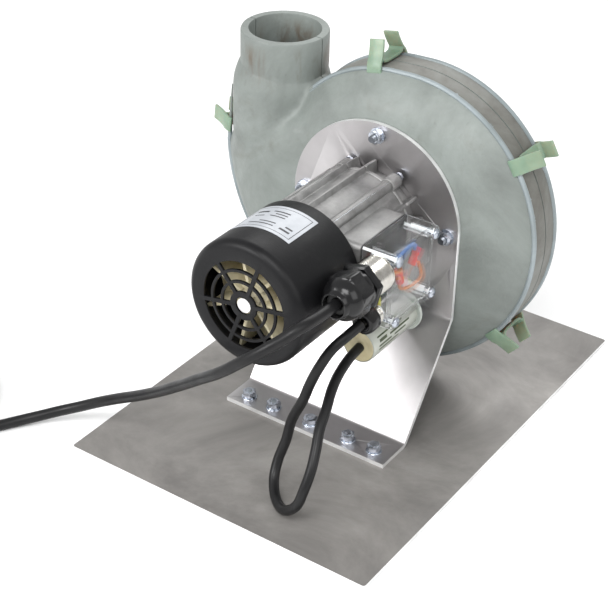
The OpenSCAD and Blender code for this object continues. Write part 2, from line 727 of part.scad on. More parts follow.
base_plate();
bracket();
foot_bolts();
foot_spring_washers();
foot_washers();
casing_front();
casing_rear();
casing_seal();
inlet_collar();
spring_clips();
casing_studs();
stud_nuts();
stud_washers();
motor_housing();
drive_end_shield();
rear_end_shield();
stator_core();
front_winding();
rear_winding();
tie_rods();
flange_screws();
rotor_core();
rotor_shaft();
front_bearing();
rear_bearing();
shaft_seal();
cooling_fan();
fan_cowl();
cowl_screws();
rating_label();
terminal_box();
box_gasket();
box_cover();
cover_screws();
crimp_sleeves();
inner_wires();
large_nipple();
gland_body();
gland_nut();
gland_seal();
small_nipple();
small_gland_nut();
capacitor_can();
capacitor_resin();
capacitor_sleeve();
capacitor_disc();
capacitor_stud();
capacitor_nut();
impeller_back_plate();
impeller_blades();
impeller_shroud();
impeller_hub();
hub_screw();
mains_cord();
mains_coil();
loop_cord();
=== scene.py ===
"""A centrifugal blower on a base plate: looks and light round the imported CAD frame.

Metres, in the frame of the CAD: X right, Y from the fan cowl to the casing, Z up.
"""

import math

import bmesh
import bpy
from mathutils import Matrix, Vector


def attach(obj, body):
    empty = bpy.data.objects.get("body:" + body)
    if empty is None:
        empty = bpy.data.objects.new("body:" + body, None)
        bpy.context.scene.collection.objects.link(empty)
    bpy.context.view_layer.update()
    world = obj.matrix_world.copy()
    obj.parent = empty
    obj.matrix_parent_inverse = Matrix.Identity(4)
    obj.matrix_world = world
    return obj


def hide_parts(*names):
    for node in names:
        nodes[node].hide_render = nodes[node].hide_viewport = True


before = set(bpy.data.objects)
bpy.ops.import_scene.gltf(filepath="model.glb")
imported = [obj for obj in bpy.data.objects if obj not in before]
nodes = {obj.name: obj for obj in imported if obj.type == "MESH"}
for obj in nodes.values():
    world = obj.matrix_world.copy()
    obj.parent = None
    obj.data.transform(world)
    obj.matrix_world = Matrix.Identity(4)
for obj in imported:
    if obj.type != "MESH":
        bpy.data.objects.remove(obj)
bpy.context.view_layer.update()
MM = 0.001


def mm(x, y, z):
    """A point given in millimetres."""
    return Vector((x, y, z)) * MM


# ---------- camera ----------

CAMERA_AT = mm(395.75, -641.52, 542.85)
CAMERA_AZIMUTH = math.radians(33.94)
CAMERA_ELEVATION = math.radians(32.5)
CAMERA_ROLL = math.radians(1.53)
CAMERA_LENS = 95.03


def add_camera():
    data = bpy.data.cameras.new("camera")
    data.lens = CAMERA_LENS
    data.sensor_width = 36
    data.clip_start = 0.02
    data.clip_end = 20
    camera = bpy.data.objects.new("camera", data)
    bpy.context.scene.collection.objects.link(camera)
    az, el = CAMERA_AZIMUTH, CAMERA_ELEVATION
    back = Vector((math.sin(az) * math.cos(el), -math.cos(az) * math.cos(el), math.sin(el)))
    level = Vector((math.cos(az), math.sin(az), 0))
    rise = back.cross(level)
    right = level * math.cos(CAMERA_ROLL) + rise * math.sin(CAMERA_ROLL)
    up = rise * math.cos(CAMERA_ROLL) - level * math.sin(CAMERA_ROLL)
    turn = Matrix((right, up, back)).transposed().to_4x4()
    camera.matrix_world = Matrix.Translation(CAMERA_AT) @ turn
    bpy.context.scene.camera = camera


add_camera()

# ---------- cords ----------

MAINS_D = 6
MAINS_ROUTE = [
    (45.3, -92.5, 126), (45, -107.5, 126.5), (43.2, -120.5, 126.3), (37.8, -128.7, 121.3), (30, -134, 114.5),
    (20, -136.5, 105.8), (7.5, -136, 94.6), (-8.6, -131, 81.2), (-26.9, -124.5, 65.7), (-45, -118.7, 51),
    (-62.5, -114.7, 38.4), (-79, -112.4, 28), (-93.3, -112.8, 19.6), (-105.5, -116, 13),
    (-116, -121, 8.4), (-125, -128, 5.2), (-132.4, -136.2, 3.6), (-138.7, -145.6, 3.1),
    (-145, -156, 3.1), (-151, -168, 3.1), (-154.5, -175, 3.1),
]
LOOP_D = 5.5
LOOP_ROUTE = [
    (44.3, -67.1, 100.8), (42, -76, 97.7), (37.4, -83.5, 91), (32.6, -87.5, 80), (28.6, -89, 69),
    (25, -89.3, 58), (18.2, -88.7, 42.7), (15.4, -89.7, 28.7), (13.9, -94.6, 17.8), (16, -101, 9.7),
    (23, -109, 5.8), (33, -116, 7.5), (42, -118, 16), (44.7, -115.3, 26), (45, -109.7, 35.5),
    (43, -103, 43), (40, -95.6, 50), (37.7, -86.7, 56), (34.5, -77, 61.7), (32.4, -67.4, 65.5),
    (30.3, -55, 67.2), (29, -42.9, 67.4),
]
CORD_SUBSTEPS = 8
COIL_MID = (-188.9, -157.8)
COIL_ENTRY_DEG = -26.565
COIL_RADII = (38.45, 32.35, 26.25)
COIL_LEVELS = (3.1, 9.2, 15.3)
COIL_SHIFT_DEG = 90
# Where the coil changes: degrees of travel at which a shift starts, then its column and level after it
COIL_SHIFTS = [
    (270, 1, 0), (630, 2, 0), (900, 2, 1), (1170, 1, 1), (1530, 0, 1),
    (1800, 0, 2), (2070, 1, 2), (2430, 2, 2),
]
COIL_END_DEG = 2620


def catmull(points, substeps):
    """A smooth line through the points, with that many steps between each pair."""
    p = [Vector(q) for q in points]
    p = [p[0] * 2 - p[1]] + p + [p[-1] * 2 - p[-2]]
    line = []
    for i in range(1, len(p) - 2):
        a, b, c, d = p[i - 1 : i + 3]
        for k in range(substeps):
            t = k / substeps
            line.append(
                0.5 * (2 * b + (c - a) * t + (2 * a - 5 * b + 4 * c - d) * t * t
                       + (3 * b - a - 3 * c + d) * t * t * t)
            )
    line.append(p[-2])
    return line


def ease(t):
    t = min(max(t, 0.0), 1.0)
    return t * t * (3 - 2 * t)


def coil_point(travel):
    """The coil's centreline after that many degrees of travel, clockwise from where the cord enters."""
    radius, level = COIL_RADII[0], COIL_LEVELS[0]
    for start, column, layer in COIL_SHIFTS:
        share = ease((travel - start) / COIL_SHIFT_DEG)
        radius += (COIL_RADII[column] - radius) * share
        level += (COIL_LEVELS[layer] - level) * share
    angle = math.radians(COIL_ENTRY_DEG - travel)
    return Vector((COIL_MID[0] + radius * math.cos(angle), COIL_MID[1] + radius * math.sin(angle), level))


def coil_points():
    return [coil_point(travel) for travel in range(10, COIL_END_DEG + 1, 10)]


def add_cord(name, points, diameter):
    """A round cord as one open spline. The points are in millimetres."""
    curve = bpy.data.curves.new(name, "CURVE")
    curve.dimensions = "3D"
    curve.bevel_depth = diameter / 2 * MM
    curve.bevel_resolution = 5
    curve.use_fill_caps = True
    spline = curve.splines.new("POLY")
    spline.points.add(len(points) - 1)
    for i, q in enumerate(points):
        spline.points[i].co = (q.x * MM, q.y * MM, q.z * MM, 1)
    cord = bpy.data.objects.new(name, curve)
    bpy.context.scene.collection.objects.link(cord)
    return cord


mains_line = catmull(MAINS_ROUTE, CORD_SUBSTEPS) + coil_points()
mains = add_cord("mains_cable", mains_line, MAINS_D)
loop_line = catmull(LOOP_ROUTE, CORD_SUBSTEPS)
loop = add_cord("loop_cable", loop_line, LOOP_D)

# ---------- mesh helpers ----------

AXIS = Vector((0, 0, 115))
# A frame for outlines drawn in y and z, whose local Z points along +X
SIDE = Matrix(((0, 0, 1, 0), (1, 0, 0, 0), (0, 1, 0, 0), (0, 0, 0, 1)))
SHARP_DEG = 35


def shade(mesh, sharp_deg=SHARP_DEG):
    """Smooth shading with sharp edges where faces meet at more than that angle."""
    bm = bmesh.new()
    bm.from_mesh(mesh)
    for face in bm.faces:
        face.smooth = True
    limit = math.radians(sharp_deg)
    for edge in bm.edges:
        edge.smooth = len(edge.link_faces) == 2 and edge.calc_face_angle(0) < limit
    bm.to_mesh(mesh)
    bm.free()


def object_from(bm, name, sharp_deg=SHARP_DEG):
    """A new object from a bmesh in millimetres, with its normals outwards."""
    bmesh.ops.recalc_face_normals(bm, faces=bm.faces)
    bmesh.ops.scale(bm, vec=Vector((MM, MM, MM)), verts=bm.verts)
    mesh = bpy.data.meshes.new(name)
    bm.to_mesh(mesh)
    bm.free()
    obj = bpy.data.objects.new(name, mesh)
    bpy.context.scene.collection.objects.link(obj)
    shade(mesh, sharp_deg)
    return obj


def along_y(at=(0, 115), y=0.0):
    """A frame whose local Z points along +Y, placed on the line x, z = at."""
    return Matrix.Translation((at[0], y, at[1])) @ Matrix.Rotation(-math.pi / 2, 4, "X")


def along_x(y, z, x=0.0):
    """A frame whose local Z points along +X."""
    return Matrix.Translation((x, y, z)) @ Matrix.Rotation(math.pi / 2, 4, "Y")


def upright(x, y, z=0.0):
    return Matrix.Translation((x, y, z))


def add_lathe(bm, profile, place, steps=64, closed=True):
    """Turns a profile of (radius, height) about the local Z of place.

    closed joins its last point to its first.
    """
    rings = []
    for radius, height in profile:
        if radius < 1e-6:
            rings.append([bm.verts.new(place @ Vector((0, 0, height)))] * steps)
            continue
        rings.append([bm.verts.new(place @ Vector((a, b, height))) for a, b in circle(radius, steps)])
    pairs = list(zip(rings, rings[1:]))
    if closed:
        pairs.append((rings[-1], rings[0]))
    for low, high in pairs:
        for k in range(steps):
            corners = []
            for v in (low[k], low[(k + 1) % steps], high[(k + 1) % steps], high[k]):
                if v not in corners:
                    corners.append(v)
            if len(corners) > 2:
                bm.faces.new(corners)


def add_skin(bm, rings):
    """Joins rings of vertices into a closed skin with a flat cap at each end."""
    count = len(rings[0])
    for a, b in zip(rings, rings[1:]):
        for k in range(count):
            j = (k + 1) % count
            bm.faces.new((a[k], a[j], b[j], b[k]))
    bm.faces.new(rings[0][::-1])
    bm.faces.new(rings[-1])


def add_prism(bm, outline, place, low, high):
    """A straight prism of a 2D outline along the local Z of place."""
    add_skin(bm, [[bm.verts.new(place @ Vector((a, b, h))) for a, b in outline] for h in (low, high)])


def oblong(low, high):
    """The corners of a rectangle between two opposite ones."""
    return [(low[0], low[1]), (high[0], low[1]), (high[0], high[1]), (low[0], high[1])]


def rounded(points, radius, steps=4):
    """The outline with each corner rounded by that radius."""
    out = []
    count = len(points)
    for i in range(count):
        before, corner, after = (Vector(points[(i + d) % count]) for d in (-1, 0, 1))
        a = (before - corner).normalized()
        b = (after - corner).normalized()
        half = a.angle(b) / 2
        reach = min(radius / math.tan(half), (before - corner).length / 2.02, (after - corner).length / 2.02)
        r = reach * math.tan(half)
        mid = corner + (a + b).normalized() * (r / math.sin(half))
        start, end = corner + a * reach - mid, corner + b * reach - mid
        sweep = start.angle_signed(end)
        for k in range(steps + 1):
            turn = Matrix.Rotation(-sweep * k / steps, 2)
            out.append(tuple(mid + turn @ start))
    return out


def hexagon(flats, turn_deg=0):
    r = flats / math.sqrt(3)
    turns = [math.radians(60 * k + turn_deg) for k in range(6)]
    return [(r * math.cos(t), r * math.sin(t)) for t in turns]


def circle(radius, steps):
    turns = [2 * math.pi * k / steps for k in range(steps)]
    return [(radius * math.cos(t), radius * math.sin(t)) for t in turns]


def arc(mid, radius, from_deg, to_deg, steps):
    turns = [math.radians(from_deg + (to_deg - from_deg) * k / steps) for k in range(steps + 1)]
    return [(mid[0] + radius * math.cos(t), mid[1] + radius * math.sin(t)) for t in turns]


def apply_modifiers(obj, sharp_deg=SHARP_DEG):
    """Replaces the object's mesh by its evaluated one and drops its modifiers."""
    bpy.context.view_layer.update()
    done = bpy.data.meshes.new_from_object(obj.evaluated_get(bpy.context.evaluated_depsgraph_get()))
    obj.modifiers.clear()
    obj.data = done
    shade(done, sharp_deg)


def bevel(obj, width, segments=2, limit_deg=30, sharp_deg=SHARP_DEG):
    modifier = obj.modifiers.new("bevel", "BEVEL")
    modifier.width = width * MM
    modifier.segments = segments
    modifier.limit_method = "ANGLE"
    modifier.angle_limit = math.radians(limit_deg)
    apply_modifiers(obj, sharp_deg)


def combine(obj, others, operation="DIFFERENCE", sharp_deg=SHARP_DEG):
    """Joins to, cuts from or meets the object with closed helper solids, which are then removed."""
    for other in others:
        modifier = obj.modifiers.new("combine", "BOOLEAN")
        modifier.operation = operation
        modifier.object = other
        modifier.solver = "MANIFOLD"
    apply_modifiers(obj, sharp_deg)
    for other in others:
        bpy.data.objects.remove(other)


def solid_box(low, high, name="cutter"):
    bm = bmesh.new()
    add_prism(bm, oblong(low, high), Matrix(), low[2], high[2])
    return object_from(bm, name)


def solid_drum(radius, place, low, high, steps=64, name="cutter"):
    bm = bmesh.new()
    add_prism(bm, circle(radius, steps), place, low, high)
    return object_from(bm, name)


def around(deg, radius):
    """x and z of a point at an angle and radius round the shaft."""
    return radius * math.cos(math.radians(deg)), AXIS.z + radius * math.sin(math.radians(deg))

# ---------- materials ----------


class Look:
    """A Principled material with short calls for the nodes that feed it."""

    def __init__(self, name, color, roughness=0.5, metallic=0.0, **values):
        self.material = bpy.data.materials.new(name)
        self.material.use_nodes = True
        self.tree = self.material.node_tree
        self.shader = self.tree.nodes["Principled BSDF"]
        self.shader.inputs["Base Color"].default_value = (*color, 1)
        self.shader.inputs["Roughness"].default_value = roughness
        self.shader.inputs["Metallic"].default_value = metallic
        for key, value in values.items():
            self.shader.inputs[key.replace("_", " ")].default_value = value
        self.where = self.node("ShaderNodeTexCoord").outputs["Object"]

    def node(self, kind, **values):
        made = self.tree.nodes.new(kind)
        for key, value in values.items():
            setattr(made, key, value)
        return made

    def feed(self, value, socket):
        if hasattr(value, "is_output"):
            self.tree.links.new(value, socket)
        elif hasattr(value, "__len__") and len(value) == 3 and len(socket.default_value) == 4:
            socket.default_value = (*value, 1)
        else:
            socket.default_value = value

    def set(self, name, value):
        self.feed(value, self.shader.inputs[name])

    def stretched(self, scale):
        made = self.node("ShaderNodeMapping")
        self.tree.links.new(self.where, made.inputs["Vector"])
        made.inputs["Scale"].default_value = scale
        return made.outputs["Vector"]

    def noise(self, scale, detail=4.0, roughness=0.55, stretch=(1, 1, 1), distortion=0.0):
        made = self.node("ShaderNodeTexNoise")
        self.tree.links.new(self.stretched(stretch), made.inputs["Vector"])
        made.inputs["Scale"].default_value = scale
        made.inputs["Detail"].default_value = detail
        made.inputs["Roughness"].default_value = roughness
        made.inputs["Distortion"].default_value = distortion
        return made.outputs["Fac"]

    def ramp(self, factor, stops):
        """A colour or grey for each place on a 0 to 1 factor: stops are (place, colour or grey)."""
        made = self.node("ShaderNodeValToRGB")
        self.feed(factor, made.inputs["Fac"])
        while len(made.color_ramp.elements) < len(stops):
            made.color_ramp.elements.new(0.5)
        for element, (place, value) in zip(made.color_ramp.elements, stops):
            element.position = place
            element.color = (*value, 1) if hasattr(value, "__len__") else (value, value, value, 1)
        return made.outputs["Color"]

    def mix(self, factor, a, b, blend="MIX"):
        made = self.node("ShaderNodeMix", data_type="RGBA", blend_type=blend)
        self.feed(factor, made.inputs["Factor"])
        self.feed(a, made.inputs[6])
        self.feed(b, made.inputs[7])
        return made.outputs[2]

    def math(self, operation, a, b=0.0, clamp=False):
        made = self.node("ShaderNodeMath", operation=operation, use_clamp=clamp)
        self.feed(a, made.inputs[0])
        self.feed(b, made.inputs[1])
        return made.outputs[0]

    def place(self, axis):
        """One coordinate of the surface, in metres: 0, 1 or 2 for X, Y or Z."""
        made = self.node("ShaderNodeSeparateXYZ")
        self.tree.links.new(self.where, made.inputs[0])
        return made.outputs[axis]

    def facing(self, axis):
        """How far the surface faces along X, Y or Z."""
        made = self.node("ShaderNodeSeparateXYZ")
        self.tree.links.new(self.node("ShaderNodeNewGeometry").outputs["Normal"], made.inputs[0])
        return made.outputs[axis]

    def band(self, value, low, high):
        """0 below low, 1 above high."""
        made = self.node("ShaderNodeMapRange", clamp=True, interpolation_type="SMOOTHSTEP")
        self.feed(value, made.inputs["Value"])
        made.inputs["From Min"].default_value = low
        made.inputs["From Max"].default_value = high
        return made.outputs["Result"]

    def bump(self, height, strength, distance=0.001):
        made = self.node("ShaderNodeBump")
        self.feed(height, made.inputs["Height"])
        made.inputs["Strength"].default_value = strength
        made.inputs["Distance"].default_value = distance
        self.tree.links.new(made.outputs["Normal"], self.shader.inputs["Normal"])


def casing_look():
    look = Look("casing_cast", (0.27, 0.31, 0.29), 0.5, 0.0)
    cloud = look.noise(17, 8, 0.68, distortion=0.5)
    base = look.ramp(cloud, [
        (0.3, (0.135, 0.15, 0.14)), (0.5, (0.19, 0.212, 0.198)), (0.74, (0.25, 0.278, 0.264)),
    ])
    stain = look.ramp(look.noise(32, 8, 0.7, distortion=0.8), [(0.56, 0.0), (0.74, 1.0)])
    base = look.mix(look.math("MULTIPLY", stain, 0.5), base, (0.12, 0.12, 0.1))
    streak = look.band(look.noise(70, 5, 0.7, stretch=(1, 1, 0.22), distortion=0.6), 0.45, 0.68)
    height = look.place(2)
    under_rim = look.math("MULTIPLY", look.band(height, 0.160, 0.176), look.band(height, 0.19, 0.178))
    on_duct = look.math("MULTIPLY", look.band(look.place(0), -0.052, -0.06), 0.85)
    stained = look.math("MULTIPLY", streak, look.math("MULTIPLY", under_rim, on_duct))
    base = look.mix(stained, base, (0.11, 0.085, 0.06))
    spots = look.ramp(look.noise(190, 3, 0.5), [(0.68, 0.0), (0.76, 1.0)])
    base = look.mix(look.math("MULTIPLY", spots, 0.35), base, (0.13, 0.14, 0.13))
    look.set("Base Color", base)
    look.set("Roughness", look.ramp(look.noise(60, 5), [(0.3, 0.42), (0.7, 0.62)]))
    grain = look.math("ADD", look.noise(420, 4, 0.6), look.math("MULTIPLY", look.noise(60, 3), 1.4))
    look.bump(grain, 0.3, 0.0007)
    return look


def band_painted_shade_look():
    """The brown-grey band round the seam: a darker copy of the casing's look, as painted shade on the side
    wall, with its brown staining.
    """
    look = Look("casing_band_painted_shade", (0.2, 0.2, 0.18), 0.52, 0.0)
    cloud = look.noise(22, 7, 0.68, distortion=0.7)
    look.set("Base Color", look.ramp(cloud, [
        (0.3, (0.085, 0.08, 0.068)), (0.5, (0.145, 0.145, 0.13)), (0.72, (0.205, 0.215, 0.2)),
    ]))
    look.set("Roughness", look.ramp(look.noise(60, 5), [(0.3, 0.45), (0.7, 0.65)]))
    look.bump(look.noise(300, 5, 0.6), 0.25, 0.0006)
    return look


# Painted highlight: the bead is the casing's cast surface in a lighter, bluer tone, standing for the light
# its raised edge catches.
def bead_painted_highlight_look():
    look = Look("casing_bead_painted_highlight", (0.4, 0.46, 0.48), 0.4, 0.1)
    look.set("Base Color", look.ramp(
        look.noise(40, 5, 0.6), [(0.35, (0.185, 0.215, 0.22)), (0.65, (0.27, 0.31, 0.325))]))
    look.bump(look.noise(260, 3), 0.15, 0.0005)
    return look


def plate_look():
    look = Look("plate_steel", (0.2, 0.19, 0.18), 0.5, 0.35)
    cloud = look.noise(11, 9, 0.68, distortion=0.6)
    base = look.ramp(cloud, [
        (0.3, (0.15, 0.143, 0.137)), (0.5, (0.235, 0.225, 0.213)), (0.74, (0.35, 0.337, 0.32)),
    ])
    smear = look.noise(26, 6, 0.7, stretch=(0.25, 1, 1), distortion=0.5)
    base = look.mix(look.math("MULTIPLY", look.band(smear, 0.52, 0.72), 0.35), base, (0.12, 0.112, 0.105))
    look.set("Base Color", base)
    look.set("Roughness", look.ramp(look.noise(38, 6), [(0.3, 0.4), (0.7, 0.58)]))
    look.bump(look.noise(500, 4, 0.6, stretch=(0.3, 1, 1)), 0.12, 0.0004)
    return look


# Painted highlight: a light grey look for the plate's and bracket's edges, standing for the light their
# bevels catch.
def edge_highlight_look():
    look = Look("cut_edge_painted_highlight", (0.8, 0.8, 0.8), 0.35, 0.5)
    look.set("Base Color", look.ramp(look.noise(90, 4), [(0.3, 0.66), (0.6, 0.86)]))
    look.bump(look.noise(600, 2, stretch=(1, 1, 0.1)), 0.1, 0.0004)
    return look


def brushed_look():
    look = Look("brushed_aluminium", (0.78, 0.77, 0.78), 0.28, 1.0, Anisotropic=0.4)
    cloud = look.noise(16, 5, 0.6)
    base = look.ramp(cloud, [(0.3, (0.40, 0.385, 0.39)), (0.7, (0.55, 0.535, 0.54))])
    look.set("Base Color", base)
    grain = look.noise(900, 3, 0.6, stretch=(1, 0.04, 0.04))
    look.set("Roughness", look.ramp(look.noise(12, 3), [(0.3, 0.36), (0.7, 0.44)]))
    look.bump(grain, 0.08, 0.0002)
    return look


def cast_look():
    look = Look("cast_aluminium", (0.4, 0.4, 0.4), 0.45, 0.75)
    cloud = look.noise(60, 6, 0.65)
    look.set("Base Color", look.ramp(
        cloud, [(0.3, (0.17, 0.168, 0.166)), (0.55, (0.31, 0.308, 0.304)), (0.78, (0.45, 0.448, 0.442))]))
    look.set("Roughness", look.ramp(look.noise(120, 5), [(0.3, 0.38), (0.7, 0.56)]))
    look.bump(look.noise(420, 5, 0.65), 0.28, 0.0005)
    return look


def metal_look(name, dark, light, roughness, grain=300):
    look = Look(name, light, roughness, 1.0)
    look.set("Base Color", look.ramp(look.noise(110, 5, 0.6), [(0.32, dark), (0.68, light)]))
    look.set("Roughness", look.ramp(look.noise(160, 4), [(0.3, roughness * 0.8), (0.7, roughness * 1.3)]))
    look.bump(look.noise(grain, 3), 0.08, 0.0003)
    return look


def plastic_look(name, dark, light, roughness, scale=90, grain=700, depth=0.12, **values):
    look = Look(name, light, roughness, 0.0, **values)
    look.set("Base Color", look.ramp(look.noise(scale, 5, 0.6), [(0.3, dark), (0.7, light)]))
    wear = look.noise(scale * 1.7, 4)
    look.set("Roughness", look.ramp(wear, [(0.3, roughness * 0.82), (0.7, roughness * 1.25)]))
    look.bump(look.noise(grain, 4, 0.6), depth, 0.0004)
    return look


def cowl_look():
    look = Look("cowl_black", (0.006, 0.006, 0.0065), 0.4, 0.0, **{"Specular_IOR_Level": 0.2})
    patches = look.band(look.noise(70, 7, 0.7), 0.5, 0.85)
    dust = look.math("MULTIPLY", patches, look.band(look.facing(2), 0.1, 1.0))
    dust = look.math("MULTIPLY", dust, 0.18)
    look.set("Base Color", look.mix(dust, (0.006, 0.006, 0.0068), (0.07, 0.07, 0.068)))
    look.set("Roughness", look.ramp(look.noise(45, 5), [(0.3, 0.33), (0.7, 0.5)]))
    look.bump(look.noise(650, 4, 0.6), 0.16, 0.0004)
    return look


def coil_look():
    """Copper wire wound in rings."""
    look = Look("copper_winding", (0.5, 0.2, 0.08), 0.35, 0.8)
    look.set("Base Color", look.ramp(
        look.noise(200, 4), [(0.3, (0.33, 0.11, 0.04)), (0.7, (0.62, 0.27, 0.12))]))
    look.bump(look.noise(1500, 2), 0.4, 0.0005)
    return look


LOOKS = {
    "casing": casing_look(),
    "rim": band_painted_shade_look(),
    "bead": bead_painted_highlight_look(),
    "plate": plate_look(),
    "edge": edge_highlight_look(),
    "brushed": brushed_look(),
    "cast": cast_look(),
    "zinc": metal_look("zinc_plated", (0.36, 0.39, 0.44), (0.6, 0.635, 0.7), 0.25),
    "dark_steel": metal_look("dark_steel", (0.14, 0.15, 0.17), (0.3, 0.32, 0.35), 0.35),
    "nickel": metal_look("nickel_plated", (0.40, 0.385, 0.35), (0.6, 0.585, 0.55), 0.18),
    "steel": metal_look("ground_steel", (0.62, 0.62, 0.63), (0.86, 0.86, 0.87), 0.2),
    "lamination": metal_look("steel_lamination", (0.22, 0.22, 0.23), (0.4, 0.4, 0.41), 0.45),
    "wheel": metal_look("galvanised_sheet", (0.38, 0.4, 0.42), (0.6, 0.62, 0.64), 0.38, 120),
    "copper": coil_look(),
    "cowl": cowl_look(),
    "gland": plastic_look("gland_nylon", (0.004, 0.004, 0.0045), (0.009, 0.009, 0.0095), 0.17, depth=0.04,
                          **{"Specular_IOR_Level": 0.34}),
    "rubber": plastic_look("black_rubber", (0.01, 0.01, 0.01), (0.022, 0.022, 0.022), 0.55, depth=0.2),
    "cable": plastic_look("cable_sheath", (0.006, 0.006, 0.0065), (0.014, 0.014, 0.0145), 0.38, 60, 500, 0.15,
                          **{"Specular_IOR_Level": 0.24}),
    "fan": plastic_look("fan_plastic", (0.62, 0.55, 0.36), (0.8, 0.73, 0.52), 0.42),
    "clip": plastic_look(
        "clip_green", (0.16, 0.24, 0.165), (0.25, 0.34, 0.245), 0.38, 50, 400, 0.2,
        **{"Transmission_Weight": 0.12, "Subsurface_Weight": 0.08},
    ),
    "clear": plastic_look(
        "clear_plastic", (0.9, 0.93, 0.94), (0.97, 0.985, 0.99), 0.02, 40, 120, 0.0,
        **{"Transmission_Weight": 1.0, "IOR": 1.12, "Alpha": 0.28},
    ),
    # Painted reflection: a whiter, nearly opaque look on the clear pieces' bevelled edges, standing for the
    # light they catch.
    "clear_edge_painted_reflection": plastic_look(
        "clear_edge_painted_reflection", (0.78, 0.81, 0.83), (0.92, 0.94, 0.95), 0.12, 40, 120, 0.01, **{"Alpha": 0.8}
    ),
    "film": plastic_look("clear_film", (0.36, 0.38, 0.33), (0.50, 0.52, 0.47), 0.1, 60, 200, 0.03),
    "red": plastic_look("sleeve_red", (0.5, 0.02, 0.015), (0.7, 0.05, 0.035), 0.3),
    "blue": plastic_look("wire_blue", (0.03, 0.11, 0.34), (0.06, 0.19, 0.5), 0.35),
    "orange": plastic_look("wire_orange", (0.5, 0.14, 0.02), (0.66, 0.22, 0.04), 0.35),
    "yellow": plastic_look("wire_yellow", (0.5, 0.5, 0.06), (0.66, 0.62, 0.1), 0.35),
    "brown": plastic_look("wire_brown", (0.09, 0.035, 0.015), (0.14, 0.06, 0.025), 0.35),
    "resin": plastic_look("cap_resin", (0.56, 0.49, 0.29), (0.72, 0.65, 0.43), 0.4),
    "pale": plastic_look("pale_nylon", (0.42, 0.46, 0.42), (0.56, 0.60, 0.56), 0.38),
    "can": metal_look("aluminium_can", (0.55, 0.55, 0.53), (0.8, 0.8, 0.78), 0.22),
    "print": plastic_look("print_olive", (0.03, 0.045, 0.015), (0.06, 0.08, 0.03), 0.4),
    "label": plastic_look("label_film", (0.36, 0.38, 0.41), (0.46, 0.48, 0.51), 0.35, depth=0.03),
    "ink": plastic_look("label_ink", (0.02, 0.02, 0.025), (0.04, 0.04, 0.045), 0.45),
}


def dress(obj, *looks):
    """Gives an object its materials. A second one goes on the faces that a piece marks with index 1."""
    marks = [face.material_index if len(looks) > 1 else 0 for face in obj.data.polygons]
    obj.data.materials.clear()
    for look in looks:
        obj.data.materials.append(LOOKS[look].material)
    obj.data.polygons.foreach_set("material_index", marks)


def piece(obj, slot, *looks, body="blower", replaces=()):
    """Dresses a piece, and says which body it rides on and which CAD nodes it stands for."""
    dress(obj, *looks)
    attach(obj, body)
    if replaces:
        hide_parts(*replaces)
    return obj

# ---------- casing ----------

SEAM_Y = 44
SEAM_GAP = 0.4
FACE_Y = 15.1
RIM_Y = 32.5
WALL = 2
FLAT_R = 50
TONGUE_DEG = 150
SCROLL_R = 75
SCROLL_GROWTH = 8.2
WIDEST_R = SCROLL_R + SCROLL_GROWTH * 1.5 * math.pi
DUCT_AT = (-84.3, SEAM_Y)
OUTLET_AT = (-83, SEAM_Y)
OUTLET_R = 25.1
OUTLET_BORE_R = 20.4
OUTLET_TOP = 190
INLET_R = 40
BACK_Y = 2 * SEAM_Y - FACE_Y


def scroll_radius(deg):
    """Radius of the scroll's outline, for angles from -180 to 180 measured from +X."""
    if deg <= 90:
        return SCROLL_R + SCROLL_GROWTH * math.radians(90 - deg)
    if deg <= TONGUE_DEG:
        return SCROLL_R
    return SCROLL_R + (WIDEST_R - SCROLL_R) * ease((deg - TONGUE_DEG) / (180 - TONGUE_DEG))


def fullness(deg):
    """How boxy the front face is at an angle: a shallow dome on top, nearly a round duct at the far left."""
    turned = 90 - deg if deg <= 90 else (270 if deg > TONGUE_DEG else 0)
    return 2.1 + 2.3 * (turned / 270) ** 1.5


def scroll_solid(inset, name):
    """The scroll as a closed solid, shrunk by inset on every side."""
    bm = bmesh.new()
    angles = range(-180, 180, 4)
    steps = [k / 14 for k in range(1, 15)]
    rows = []
    for deg in angles:
        outer = scroll_radius(deg) - inset
        front = []
        for s in steps:
            radius = FLAT_R * min(s * 2, 1) if s <= 0.5 else FLAT_R + (outer - FLAT_R) * (2 * s - 1)
            share = max(0.0, (radius - FLAT_R) / (outer - FLAT_R))
            front.append((radius, FACE_Y + inset + (RIM_Y - FACE_Y - inset) * share ** fullness(deg)))
        back = [(radius, 2 * SEAM_Y - y) for radius, y in reversed(front)]
        band = [(outer + 0.5, SEAM_Y - 6), (outer + 0.5, SEAM_Y + 6)]
        x, z = math.cos(math.radians(deg)), math.sin(math.radians(deg))
        rows.append([bm.verts.new((r * x, y, AXIS.z + r * z)) for r, y in front + band + back])
    caps = [bm.verts.new((0, FACE_Y + inset, AXIS.z)), bm.verts.new((0, BACK_Y - inset, AXIS.z))]
    for row, following in zip(rows, rows[1:] + rows[:1]):
        bm.faces.new((caps[0], row[0], following[0]))
        bm.faces.new((caps[1], following[-1], row[-1]))
        for k in range(len(row) - 1):
            bm.faces.new((row[k], row[k + 1], following[k + 1], following[k]))
    return object_from(bm, name)


def upright_solid(profile, at, name, steps=64):
    bm = bmesh.new()
    add_lathe(bm, profile, upright(*at), steps, closed=False)
    return object_from(bm, name)


def bead_solid(y, name):
    """The raised bead that follows the scroll's edge and runs up beside the duct."""
    path = []
    for deg in range(TONGUE_DEG + 2, -184, -3):
        radius = scroll_radius(max(deg, -180)) - 0.4
        x, z = around(deg, radius)
        path.append((Vector((x, z)), 1.45))
    for k in range(1, 8):
        path.append((Vector((path[-1][0].x + 0.28, path[-1][0].y + 5)), 1.45 - 0.16 * k))
    bm = bmesh.new()
    rings = []
    for i, (spot, size) in enumerate(path):
        ahead = path[min(i + 1, len(path) - 1)][0] - path[max(i - 1, 0)][0]
        side = Vector((ahead.y, -ahead.x)).normalized()
        rings.append([
            bm.verts.new((spot.x + side.x * a, y + b, spot.y + side.y * a)) for a, b in circle(size, 8)
        ])
    add_skin(bm, rings)
    return object_from(bm, name)


